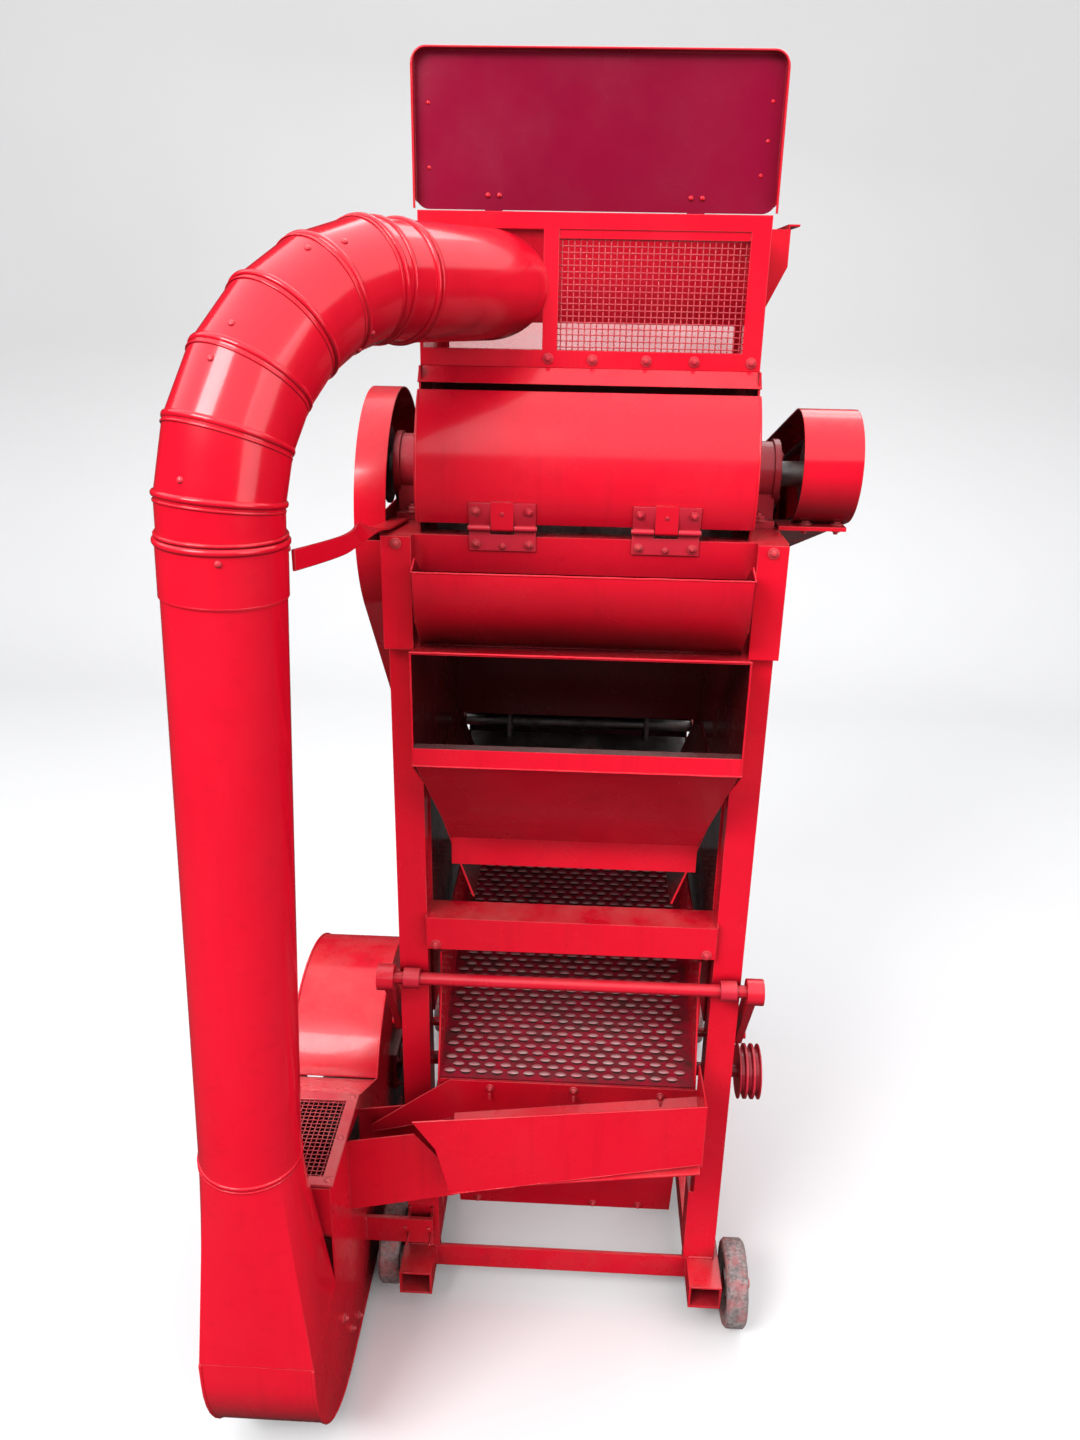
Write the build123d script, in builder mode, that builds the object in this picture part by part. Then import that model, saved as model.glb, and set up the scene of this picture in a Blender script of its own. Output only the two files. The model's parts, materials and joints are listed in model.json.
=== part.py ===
from build123d import *
import math
import os

os.makedirs("parts", exist_ok=True)

# Peanut sheller with air-lift return pipe: driving dimensions, in millimetres.
# X to the machine's right, Y from its front (outlet side) to its back, Z up from the floor.

SHIFT_X = 73.0          # moves the layout so that the origin is under the middle of the whole machine
SHIFT_Y = -257.5

FRAME_HALF = 300.0      # half the width over the legs
LEG = 50.0              # square leg tube
TUBE_WALL = 3.0
REAR_LEG_Y = 470.0      # front face of the rear legs
LEG_TOP = 1480.0
DECK_TOP = 1537.0       # top of the upper frame ring
RAIL_FRONT, RAIL_BACK = -70.0, 935.0
RAIL_IN, RAIL_OUT = 247.0, 309.0
RAIL_LOW, RAIL_TOP = 68.0, 120.0

WHEEL_R, WHEEL_IN, WHEEL_OUT = 80.0, 318.0, 358.0
AXLE_R = 10.0
WHEEL_Y = {"front_left": 45.0, "front_right": -18.0, "rear_left": 850.0, "rear_right": 850.0}

DRUM_Y, DRUM_Z = 170.0, 1615.0      # axis of the shelling drum
ROTOR_R, ROTOR_HALF = 140.0, 230.0
DRUM_SHAFT_R = 20.0
COVER_R, COVER_T, COVER_HALF = 183.0, 2.5, 252.0
COVER_PIN_Y, COVER_PIN_Z = -9.0, 1550.0

BOX_HALF, BOX_FRONT, BOX_BACK = 250.0, 60.0, 277.0
BOX_LOW, BOX_TOP = 1776.0, 1985.0
LID_HALF, LID_DEPTH, LID_FLANGE, LID_T = 285.0, 222.0, 18.0, 2.0
LID_PIN_Y, LID_PIN_Z = 281.0, 1995.0

SIEVE_FRONT, SIEVE_BACK = -48.0, 560.0
SIEVE_HALF = 230.0
SIEVE_SLOPE = 0.268
SIEVE_LIP_Z = 568.0

ROCK_Y, ROCK_Z, ROCK_R = -18.0, 755.0, 11.0       # rocker shaft across the front legs
PIN_Y, PIN_Z, PIN_R = 70.0, 600.0, 8.0            # sieve hanger pins
ECC_Y, ECC_Z, ECC_R = 85.0, 505.0, 12.5           # eccentric shaft

FAN_Y, FAN_Z, FAN_R = 370.0, 280.0, 260.0         # lift blower scroll
BLOW_IN, BLOW_OUT = -380.0, -562.0                # its two side plates
SHEET = 2.5

PIPE_R, PIPE_T = 76.0, 2.0
PIPE_Y = -340.0
RISER_X_LOW, RISER_Z_LOW = -475.0, 655.0
RISER_X_TOP, RISER_Z_TOP = -437.5, 1532.0
ELBOW_R, ELBOW_HEADING = 285.0, 55.2              # bend radius; plan heading from +X, degrees
GORES = 6
ELBOW_START_Z = 1603.0
RISER_LEAN = (RISER_X_TOP - RISER_X_LOW) / (RISER_Z_TOP - RISER_Z_LOW)
ELBOW_X = RISER_X_TOP + RISER_LEAN * (ELBOW_START_Z + ELBOW_R * math.tan(math.radians(45 / GORES)) - RISER_Z_TOP)
RETURN_Z = ELBOW_START_Z + ELBOW_R                # the return pipe's axis where it enters the box
RETURN_X = ELBOW_X + (BOX_FRONT - PIPE_Y) / math.tan(math.radians(ELBOW_HEADING))

WIN_Y, WIN_Z, WIN_R = 640.0, 990.0, 165.0         # winnowing fan
MOTOR_Y, MOTOR_Z, MOTOR_R = 702.0, 1468.0, 92.0

FLOOR = Plane(origin=(SHIFT_X, SHIFT_Y, 0))
SIDE = Plane(origin=(SHIFT_X, SHIFT_Y, 0), x_dir=(0, 1, 0), z_dir=(1, 0, 0))
FRONT = Plane(origin=(SHIFT_X, SHIFT_Y, 0), x_dir=(1, 0, 0), z_dir=(0, -1, 0))


def block(x0, x1, y0, y1, z0, z1, mode=Mode.ADD):
    """A box between two corners, added to the piece being built."""
    with BuildSketch(FLOOR.offset(z0)) as sk:
        with Locations(((x0 + x1) / 2, (y0 + y1) / 2)):
            Rectangle(abs(x1 - x0), abs(y1 - y0))
    extrude(sk.sketch, amount=z1 - z0, mode=mode)


def side_plate(points, x0, x1, mode=Mode.ADD):
    """A flat plate whose outline is given as (y, z) points, between two x positions."""
    with BuildSketch(SIDE.offset(x0)) as sk:
        with BuildLine():
            Polyline(*points, close=True)
        make_face()
    extrude(sk.sketch, amount=x1 - x0, mode=mode)


def front_plate(points, y0, y1, mode=Mode.ADD):
    """A flat plate whose outline is given as (x, z) points, between two y positions."""
    with BuildSketch(FRONT.offset(-y0)) as sk:
        with BuildLine():
            Polyline(*points, close=True)
        make_face()
    extrude(sk.sketch, amount=-(y1 - y0), mode=mode)


def rod(y, z, r, x0, x1, mode=Mode.ADD):
    """A round bar along x."""
    with BuildSketch(SIDE.offset(x0)) as sk:
        with Locations((y, z)):
            Circle(r)
    extrude(sk.sketch, amount=x1 - x0, mode=mode)


def belt_face(x0, y0, z0, r0, y1, z1, r1):
    """The area inside a belt that runs round two wheels, as a sketch at one x position."""
    d = math.hypot(y1 - y0, z1 - z0)
    a = math.atan2(z1 - z0, y1 - y0)
    b = math.acos((r0 - r1) / d)
    pts = []
    for s in (1, -1):
        t = a + s * b
        pts.append(((y0 + r0 * math.cos(t), z0 + r0 * math.sin(t)), (y1 + r1 * math.cos(t), z1 + r1 * math.sin(t))))
    with BuildSketch(SIDE.offset(x0)) as sk:
        with BuildLine():
            Line(pts[0][0], pts[0][1])
            ThreePointArc(pts[0][1], (y1 + r1 * math.cos(a), z1 + r1 * math.sin(a)), pts[1][1])
            Line(pts[1][1], pts[1][0])
            ThreePointArc(pts[1][0], (y0 - r0 * math.cos(a), z0 - r0 * math.sin(a)), pts[0][0])
        make_face()
    return sk.sketch


def finish(piece, name):
    piece.part.label = name
    export_step(piece.part, "parts/" + name + ".step")


# ---------------------------------------------------------------- frame

with BuildPart() as base_rails:
    for s in (-1, 1):
        a, b = sorted((s * RAIL_IN, s * RAIL_OUT))
        block(a, b, RAIL_FRONT, RAIL_BACK, RAIL_LOW, RAIL_TOP)
        block(a + 4, b - 4, RAIL_FRONT, RAIL_BACK, RAIL_LOW + 4, RAIL_TOP - 4, Mode.SUBTRACT)
finish(base_rails, "base_rails")

with BuildPart() as base_crossbars:
    # angle iron with its upright leg at the front and its flat leg at the bottom
    for y in (0.0, 862.0):
        block(-RAIL_IN, RAIL_IN, y, y + 4, 68, 119)
        block(-RAIL_IN, RAIL_IN, y + 4, y + 50, 68, 72)
finish(base_crossbars, "base_crossbars")


def leg_pair(y0):
    for s in (-1, 1):
        a, b = sorted((s * (FRAME_HALF - LEG), s * FRAME_HALF))
        block(a, b, y0, y0 + LEG, RAIL_TOP, LEG_TOP)
        block(a + TUBE_WALL, b - TUBE_WALL, y0 + TUBE_WALL, y0 + LEG - TUBE_WALL, RAIL_TOP, LEG_TOP, Mode.SUBTRACT)


with BuildPart() as front_legs:
    leg_pair(0.0)
    for s in (-1, 1):
        # stiffening plate inside the foot
        a, b = sorted((s * 240.0, s * 250.0))
        block(a, b, 0, LEG, RAIL_TOP, 285)
finish(front_legs, "front_legs")

with BuildPart() as rear_legs:
    leg_pair(REAR_LEG_Y)
finish(rear_legs, "rear_legs")

with BuildPart() as top_frame:
    block(-306, 306, -2, 522, LEG_TOP, DECK_TOP)
    block(-240, 240, 36, 484, LEG_TOP, DECK_TOP, Mode.SUBTRACT)
    # the ring is an inverted channel
    with BuildSketch(FLOOR.offset(LEG_TOP + 6)) as chan:
        with Locations((0, 260)):
            Rectangle(604, 516)
            Rectangle(488, 456, mode=Mode.SUBTRACT)
    extrude(chan.sketch, amount=DECK_TOP - 4 - LEG_TOP - 6, mode=Mode.SUBTRACT)
finish(top_frame, "top_frame")

with BuildPart() as front_columns:
    for s in (-1, 1):
        a, b = sorted((s * 258.0, s * 304.0))
        block(a, b, -22, -2, 1360, DECK_TOP)
        block(a + 4, b - 4, -18, -2, 1364, DECK_TOP - 4, Mode.SUBTRACT)
finish(front_columns, "front_columns")

with BuildPart() as tray_beam:
    block(-250, 250, -12, 48, 813, 875)
    block(-250, 250, -9, 45, 816, 872, Mode.SUBTRACT)
finish(tray_beam, "tray_beam")

with BuildPart() as side_panels:
    for s in (-1, 1):
        a, b = sorted((s * 247.0, s * 250.0))
        block(a, b, 50, 470, 640, LEG_TOP)
finish(side_panels, "side_panels")

with BuildPart() as back_panel:
    front_plate([(-247, 875), (247, 875), (247, 1480), (-247, 1480)], 467, 470)
    front_plate([(-236, 908), (236, 908), (236, 1072), (-236, 1072)], 467, 470, Mode.SUBTRACT)
finish(back_panel, "back_panel")

# ---------------------------------------------------------------- front troughs and outlet

with BuildPart() as upper_trough:
    with BuildSketch(SIDE.offset(-246)) as sk:
        with BuildLine():
            Line((-98, 1500), (-95.5, 1500))
            ThreePointArc((-95.5, 1500), (-64, 1418), (-2, 1367))
            Line((-2, 1367), (-3.5, 1364.5))
            ThreePointArc((-3.5, 1364.5), (-66.5, 1416.5), (-98, 1500))
        make_face()
    extrude(sk.sketch, amount=492)
    for s in (-1, 1):
        a, b = sorted((s * 246.0, s * 248.5))
        side_plate([(-2, 1364), (-2, 1480), (-60, 1512), (-98, 1500), (-66, 1416)], a, b)
finish(upper_trough, "upper_trough")

with BuildPart() as shell_outlet:
    for s in (-1, 1):
        a, b = sorted((s * 246.0, s * 249.0))
        side_plate([(48, 1352), (-120, 1387), (-120, 1205), (48, 1088)], a, b)
    side_plate([(-120, 1387), (48, 1352), (48, 1349), (-120, 1384)], -246, 246)          # hood
    side_plate([(-120, 1207), (-117, 1207), (-117, 1236), (-120, 1236)], -246, 246)      # front lip
    side_plate([(-117, 1233.5), (-117, 1236), (-100, 1236), (-100, 1233.5)], -246, 246)
    # bottom sheet of the mouth, narrowing as it drops back
    down = Plane(origin=(SHIFT_X, SHIFT_Y - 119, 1210), x_dir=(1, 0, 0), z_dir=(0, -182, -117))
    with BuildSketch(down) as sk:
        with BuildLine():
            Polyline((-246, 0), (246, 0), (205, -218), (-205, -218), close=True)
        make_face()
    extrude(sk.sketch, amount=-2.5)
finish(shell_outlet, "shell_outlet")

with BuildPart() as inner_funnel:
    for s in (-1, 1):
        front_plate([(s * 246, 1092), (s * 246, 1088), (s * 176, 884), (s * 172, 884)], 50, 466)
    block(-212, 212, 50, 52.5, 948, 1012)
finish(inner_funnel, "inner_funnel")

with BuildPart() as lower_skirt:
    side_plate([(-8, 440), (-5.5, 440), (68, 172), (65.5, 172)], -206, 214)
    for s in (-206, 211.5):
        side_plate([(-5.5, 440), (68, 172), (94, 180), (50, 440)], s, s + 2.5)
finish(lower_skirt, "lower_skirt")

# ---------------------------------------------------------------- drum housing

with BuildPart() as drum_housing:
    for s in (-1, 1):
        a, b = sorted((s * 247.0, s * 250.0))
        with BuildSketch(SIDE.offset(a)) as sk:
            with Locations((DRUM_Y, DRUM_Z)):
                Circle(178)
            with Locations((161, 1735)):
                Rectangle(242, 82)
            with Locations((DRUM_Y, DECK_TOP - 100), (DRUM_Y, BOX_LOW + 100)):
                Rectangle(400, 200, mode=Mode.SUBTRACT)
            with Locations((DRUM_Y, DRUM_Z)):
                Circle(32, mode=Mode.SUBTRACT)
        extrude(sk.sketch, amount=3)
    # rear shell from the throat down to the frame
    a0 = math.radians(51.0)
    a1 = math.radians(-24.0)
    am = (a0 + a1) / 2
    with BuildSketch(SIDE.offset(-247)) as sk:
        with BuildLine():
            ThreePointArc(*[(DRUM_Y + 178 * math.cos(a), DRUM_Z + 178 * math.sin(a)) for a in (a0, am, a1)])
            Line((DRUM_Y + 178 * math.cos(a1), DRUM_Z + 178 * math.sin(a1)), (DRUM_Y + 175 * math.cos(a1), DRUM_Z + 175 * math.sin(a1)))
            ThreePointArc(*[(DRUM_Y + 175 * math.cos(a), DRUM_Z + 175 * math.sin(a)) for a in (a1, am, a0)])
            Line((DRUM_Y + 175 * math.cos(a0), DRUM_Z + 175 * math.sin(a0)), (DRUM_Y + 178 * math.cos(a0), DRUM_Z + 178 * math.sin(a0)))
        make_face()
    extrude(sk.sketch, amount=494)
    side_plate([(279, 1748), (282, 1748), (282, 1776), (279, 1776)], -250, 250)
    # sloping strip under the front of the box
    side_plate([(38, 1754), (58, 1776), (62, 1776), (41.5, 1753)], -252, 252)
finish(drum_housing, "drum_housing")

with BuildPart() as drum_bearings:
    for s in (-1, 1):
        a, b = sorted((s * 250.0, s * 296.0))
        rod(DRUM_Y, DRUM_Z, 50, a, b)
        a2, b2 = sorted((s * 296.0, s * 306.0))
        rod(DRUM_Y, DRUM_Z, 54, a2, b2)
        a3, b3 = sorted((s * 252.0, s * 300.0))
        block(a3, b3, DRUM_Y - 42, DRUM_Y + 42, DECK_TOP + 10, DRUM_Z)
        block(a3, b3, DRUM_Y - 62, DRUM_Y + 62, DECK_TOP, DECK_TOP + 12)
        a4, b4 = sorted((s * 249.0, s * 307.0))
        rod(DRUM_Y, DRUM_Z, DRUM_SHAFT_R + 0.05, a4, b4, Mode.SUBTRACT)
finish(drum_bearings, "drum_bearings")

# ---------------------------------------------------------------- upper box

with BuildPart() as box_frame:
    block(-BOX_HALF, BOX_HALF, BOX_FRONT, BOX_FRONT + 22, BOX_LOW, BOX_LOW + 25)
    block(-BOX_HALF, BOX_HALF, BOX_FRONT, BOX_FRONT + 22, BOX_TOP - 22, BOX_TOP)
    for x0, x1 in ((-250, -245), (-70, -48), (222, 250)):
        block(x0, x1, BOX_FRONT, BOX_FRONT + 22, BOX_LOW + 25, BOX_TOP - 22)
    block(-48, 222, BOX_FRONT + 2, BOX_FRONT + 5, 1951, BOX_TOP - 22)
    for s in (-1, 1):
        a, b = sorted((s * 225.0, s * 250.0))
        block(a, b, BOX_FRONT + 22, BOX_BACK, BOX_TOP - 4, BOX_TOP)
    block(-250, 250, BOX_BACK - 25, BOX_BACK, BOX_TOP - 4, BOX_TOP)
finish(box_frame, "box_frame")

with BuildPart() as box_panels:
    for s in (-1, 1):
        a, b = sorted((s * 247.5, s * 250.0))
        block(a, b, BOX_FRONT + 22, BOX_BACK, BOX_LOW, BOX_TOP - 4)
    block(-247.5, 247.5, BOX_BACK - 2.5, BOX_BACK, BOX_LOW, BOX_TOP - 4)
    block(-236, 236, BOX_BACK - 2.5, BOX_BACK, 1790, 1835, Mode.SUBTRACT)
finish(box_panels, "box_panels")

with BuildPart() as mesh_panel:
    block(-48, 222, BOX_FRONT + 6, BOX_FRONT + 8.5, BOX_LOW + 25, BOX_TOP - 22)
finish(mesh_panel, "mesh_panel")

with BuildPart() as feed_hopper:
    with BuildSketch(FLOOR.offset(1925)) as h1:
        with Locations((0, 439)):
            Rectangle(624, 318)
    with BuildSketch(FLOOR.offset(1790)) as h2:
        with Locations((0, 300)):
            Rectangle(494, 40)
    loft([h2.sketch, h1.sketch])
    block(-312, 312, 280, 598, 1925, 1988)
    block(-328, 328, 280, 614, 1985, 1988)
    with BuildSketch(FLOOR.offset(1925)) as h3:
        with Locations((0, 439)):
            Rectangle(619, 313)
    with BuildSketch(FLOOR.offset(1790)) as h4:
        with Locations((0, 300)):
            Rectangle(489, 35)
    loft([h4.sketch, h3.sketch], mode=Mode.SUBTRACT)
    block(-309.5, 309.5, 282.5, 595.5, 1925, 1988, Mode.SUBTRACT)
    # throat into the box
    block(-234, 234, 279, 283, 1791, 1834, Mode.SUBTRACT)
    block(-247, 247, 280, 320, 1787.5, 1790)
    # the front edge is cut down to leave room for the lid's hinge knuckles
    block(-330, 330, 279, 290, 1980, 1990, Mode.SUBTRACT)
finish(feed_hopper, "feed_hopper")

with BuildPart() as lid_hinges:
    block(-270, 270, BOX_BACK - 1, BOX_BACK + 2, BOX_TOP, LID_PIN_Z - 6)
    for x in (-160.0, 160.0):
        for dx in (-24.0, 24.0):
            rod(LID_PIN_Y, LID_PIN_Z, 5.5, x + dx - 9, x + dx + 9)
            block(x + dx - 9, x + dx + 9, BOX_BACK - 1, LID_PIN_Y, LID_PIN_Z - 6, LID_PIN_Z - 3)
        rod(LID_PIN_Y, LID_PIN_Z, 2.5, x - 33, x + 33)
finish(lid_hinges, "lid_hinges")

with BuildPart() as lid:
    z0 = LID_PIN_Z + 6
    z1 = z0 + LID_DEPTH
    with BuildSketch(FRONT.offset(-(BOX_BACK + 2))) as sk:
        with Locations((0, (z0 + z1) / 2)):
            Rectangle(2 * LID_HALF, LID_DEPTH)
        fillet(sk.vertices().group_by(Axis.Z)[-1], 22)
    extrude(sk.sketch, amount=LID_FLANGE)
    with BuildSketch(FRONT.offset(-(BOX_BACK + 2 - LID_T))) as sk:
        with Locations((0, (z0 + z1) / 2 - LID_T)):
            Rectangle(2 * LID_HALF - 2 * LID_T, LID_DEPTH + 0.0)
        fillet(sk.vertices().group_by(Axis.Z)[-1], 20)
    extrude(sk.sketch, amount=LID_FLANGE, mode=Mode.SUBTRACT)
    for x in (-160.0, 160.0):
        rod(LID_PIN_Y, LID_PIN_Z, 5.5, x - 14, x + 14)
        block(x - 14, x + 14, BOX_BACK, BOX_BACK + 3.5, LID_PIN_Z, LID_PIN_Z + 40)
        rod(LID_PIN_Y, LID_PIN_Z, 2.55, x - 15, x + 15, Mode.SUBTRACT)
finish(lid, "lid")

# ---------------------------------------------------------------- drum cover and its hinges


def arc_point(r, angle):
    return (DRUM_Y + r * math.cos(angle), DRUM_Z + r * math.sin(angle))


with BuildPart() as drum_cover:
    c0 = math.pi + math.asin((DRUM_Z - 1556) / (COVER_R + 1))
    c1 = math.pi - math.asin((1743 - DRUM_Z) / (COVER_R + 1))
    cm = (c0 + c1) / 2
    ro = COVER_R + COVER_T
    with BuildSketch(SIDE.offset(-COVER_HALF)) as sk:
        with BuildLine():
            ThreePointArc(arc_point(COVER_R, c0), arc_point(COVER_R, cm), arc_point(COVER_R, c1))
            Line(arc_point(COVER_R, c1), arc_point(ro, c1))
            ThreePointArc(arc_point(ro, c1), arc_point(ro, cm), arc_point(ro, c0))
            Line(arc_point(ro, c0), arc_point(COVER_R, c0))
        make_face()
    extrude(sk.sketch, amount=2 * COVER_HALF)
    for x in (-122.0, 122.0):
        rod(COVER_PIN_Y, COVER_PIN_Z, 5, x - 17, x + 17)
        side_plate([(-14, 1550), (-10.5, 1550), (-13.5, 1590), (-17, 1590)], x - 17, x + 17)
        rod(COVER_PIN_Y, COVER_PIN_Z, 3.05, x - 18, x + 18, Mode.SUBTRACT)
finish(drum_cover, "drum_cover")

with BuildPart() as cover_hinges:
    for x in (-122.0, 122.0):
        for dx in (-34.0, 34.0):
            rod(COVER_PIN_Y, COVER_PIN_Z, 5, x + dx - 16, x + dx + 16)
        rod(COVER_PIN_Y, COVER_PIN_Z, 3, x - 50, x + 50)
        block(x - 50, x - 18, -5, -2, 1520, COVER_PIN_Z)
        block(x + 18, x + 50, -5, -2, 1520, COVER_PIN_Z)
        block(x - 50, x + 50, -5, -2, 1515, 1540)
finish(cover_hinges, "cover_hinges")

# ---------------------------------------------------------------- drum rotor

with BuildPart() as drum_rotor:
    rod(DRUM_Y, DRUM_Z, DRUM_SHAFT_R, -352, 402)
    for x in (-200.0, 0.0, 200.0):
        rod(DRUM_Y, DRUM_Z, 118, x - 5, x + 5)
    for k in range(4):
        a = math.radians(45 + 90 * k)
        with BuildSketch(SIDE.offset(-ROTOR_HALF)) as sk:
            with Locations(Location((DRUM_Y + 122 * math.cos(a), DRUM_Z + 122 * math.sin(a)), math.degrees(a))):
                Rectangle(34, 26)
        extrude(sk.sketch, amount=2 * ROTOR_HALF)
finish(drum_rotor, "drum_rotor")


def grooved_pulley(y, z, r, x0, x1, grooves, bore, web=True):
    """A V-belt pulley along x: grooved rim, thinner web, hub, bored."""
    w = x1 - x0
    rod(y, z, r, x0, x1)
    pitch = w / grooves
    for g in range(grooves):
        xm = x0 + pitch * (g + 0.5)
        with BuildSketch(Plane(origin=(SHIFT_X, SHIFT_Y + y, z), x_dir=(1, 0, 0), z_dir=(0, 1, 0))) as sk:
            with BuildLine():
                Polyline((xm - pitch * 0.36, -r - 1), (xm + pitch * 0.36, -r - 1), (xm + pitch * 0.2, -r + 9), (xm - pitch * 0.2, -r + 9), close=True)
            make_face()
        revolve(sk.sketch, axis=Axis((SHIFT_X, SHIFT_Y + y, z), (1, 0, 0)), mode=Mode.SUBTRACT)
    if web:
        for a, b in ((x0, x0 + w * 0.3), (x1 - w * 0.3, x1)):
            with BuildSketch(SIDE.offset(a)) as sk:
                with Locations((y, z)):
                    Circle(r - 17)
                    Circle(bore + 14, mode=Mode.SUBTRACT)
            extrude(sk.sketch, amount=b - a, mode=Mode.SUBTRACT)
    rod(y, z, bore, x0 - 1, x1 + 1, Mode.SUBTRACT)


with BuildPart() as drum_pulleys:
    grooved_pulley(DRUM_Y, DRUM_Z, 62, -346, -318, 1, DRUM_SHAFT_R, web=False)
    grooved_pulley(DRUM_Y, DRUM_Z, 58, 352, 392, 2, DRUM_SHAFT_R, web=False)
finish(drum_pulleys, "drum_pulleys")

# ---------------------------------------------------------------- belt guards

with BuildPart() as guard_right:
    extrude(belt_face(330, 155, 1630, 88, MOTOR_Y, MOTOR_Z, 88), amount=90)
    extrude(belt_face(330, 155, 1630, 85.5, MOTOR_Y, MOTOR_Z, 85.5), amount=87.5, mode=Mode.SUBTRACT)
    block(306, 412, 100, 156, 1537, 1543.5)
finish(guard_right, "guard_right")

with BuildPart() as guard_left_upper:
    extrude(belt_face(-360, 260, 1530, 200, WIN_Y, WIN_Z, 110), amount=50)
    extrude(belt_face(-357.5, 260, 1530, 197.5, WIN_Y, WIN_Z, 107.5), amount=47.5, mode=Mode.SUBTRACT)
    block(-361, -309, 0, 800, 800, 1530, Mode.SUBTRACT)
    block(-358, -306, 400, 430, 1531, 1534)
finish(guard_left_upper, "guard_left_upper")

with BuildPart() as guard_left_lower:
    extrude(belt_face(-360, 260, 1530, 200, WIN_Y, WIN_Z, 110), amount=50)
    extrude(belt_face(-357.5, 260, 1530, 197.5, WIN_Y, WIN_Z, 107.5), amount=47.5, mode=Mode.SUBTRACT)
    block(-361, -309, 0, 800, 1512, 1800, Mode.SUBTRACT)
    block(-358, -300, 478, 484, 988, 1010)
finish(guard_left_lower, "guard_left_lower")

# ---------------------------------------------------------------- winnowing fan and motor at the back

with BuildPart() as winnow_casing:
    with BuildSketch(SIDE.offset(-250)) as sk:
        with Locations((WIN_Y, WIN_Z)):
            Circle(WIN_R)
        with Locations(((470 + WIN_Y) / 2, WIN_Z)):
            Rectangle(WIN_Y - 470, 176)
    extrude(sk.sketch, amount=500)
    with BuildSketch(SIDE.offset(-247.5)) as sk:
        with Locations((WIN_Y, WIN_Z)):
            Circle(WIN_R - SHEET)
        with Locations(((470 + WIN_Y) / 2, WIN_Z)):
            Rectangle(WIN_Y - 470, 171)
    extrude(sk.sketch, amount=495, mode=Mode.SUBTRACT)
    rod(WIN_Y, WIN_Z, 75, -251, 251, Mode.SUBTRACT)
finish(winnow_casing, "winnow_casing")

with BuildPart() as winnow_bearings:
    for s in (-1, 1):
        a, b = sorted((s * 250.0, s * 262.0))
        block(a, b, WIN_Y - 95, WIN_Y + 95, WIN_Z - 18, WIN_Z + 18)
        a2, b2 = sorted((s * 262.0, s * 286.0))
        rod(WIN_Y, WIN_Z, 30, a2, b2)
        rod(WIN_Y, WIN_Z, 12.55, *(sorted((s * 249.0, s * 287.0))), Mode.SUBTRACT)
finish(winnow_bearings, "winnow_bearings")

with BuildPart() as winnow_rotor:
    grooved_pulley(WIN_Y, WIN_Z, 62, -346, -318, 1, 12.4)
    rod(WIN_Y, WIN_Z, 12.5, -350, 292)
    for x in (-150.0, 150.0):
        rod(WIN_Y, WIN_Z, 55, x - 4, x + 4)
    for k in range(4):
        a = math.radians(20 + 90 * k)
        with BuildSketch(SIDE.offset(-235)) as sk:
            with Locations(Location((WIN_Y + 94 * math.cos(a), WIN_Z + 94 * math.sin(a)), math.degrees(a))):
                Rectangle(110, 3)
        extrude(sk.sketch, amount=470)
finish(winnow_rotor, "winnow_rotor")

with BuildPart() as motor_bracket:
    block(-300, 300, 522, 830, 1361, 1367)
    for s in (-1, 1):
        a, b = sorted((s * 270.0, s * 276.0))
        side_plate([(520, 1361), (830, 1361), (820, 1345), (520, 1190)], a, b)
    with Locations((SHIFT_X + 85, SHIFT_Y + MOTOR_Y, 1364)):
        with GridLocations(200, 130, 2, 2):
            Hole(5.5, 10)
finish(motor_bracket, "motor_bracket")

with BuildPart() as motor:
    rod(MOTOR_Y, MOTOR_Z, MOTOR_R, -45, 215)
    rod(MOTOR_Y, MOTOR_Z, MOTOR_R - 6, -75, -45)
    rod(MOTOR_Y, MOTOR_Z, MOTOR_R - 14, 215, 240)
    block(-45, 215, MOTOR_Y - 80, MOTOR_Y + 80, 1367, 1380)
    block(-30, 200, MOTOR_Y - 50, MOTOR_Y + 50, 1378, 1400)
    block(20, 130, MOTOR_Y - 60, MOTOR_Y + 60, MOTOR_Z + 60, MOTOR_Z + 125)
    rod(MOTOR_Y, MOTOR_Z, 14.05, 150, 241, Mode.SUBTRACT)
finish(motor, "motor")

with BuildPart() as motor_pulley:
    rod(MOTOR_Y, MOTOR_Z, 14, 151, 402)
    grooved_pulley(MOTOR_Y, MOTOR_Z, 50, 352, 392, 2, 13.9, web=False)
    rod(MOTOR_Y, MOTOR_Z, 14, 340, 402)
finish(motor_pulley, "motor_pulley")


def belt(y0, z0, r0, y1, z1, r1, x0, x1):
    extrude(belt_face(x0, y0, z0, r0, y1, z1, r1), amount=x1 - x0)
    extrude(belt_face(x0, y0, z0, r0 - 6, y1, z1, r1 - 6), amount=x1 - x0, mode=Mode.SUBTRACT)


with BuildPart() as drive_belt:
    belt(DRUM_Y, DRUM_Z, 64.5, MOTOR_Y, MOTOR_Z, 56.5, 357.5, 366.5)
finish(drive_belt, "drive_belt")

with BuildPart() as fan_belt:
    belt(DRUM_Y, DRUM_Z, 68.5, WIN_Y, WIN_Z, 68.5001, -336.5, -327.5)
finish(fan_belt, "fan_belt")

# ---------------------------------------------------------------- sieve and chutes


def deck_z(y):
    return SIEVE_LIP_Z + SIEVE_SLOPE * (y + 50)


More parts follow.
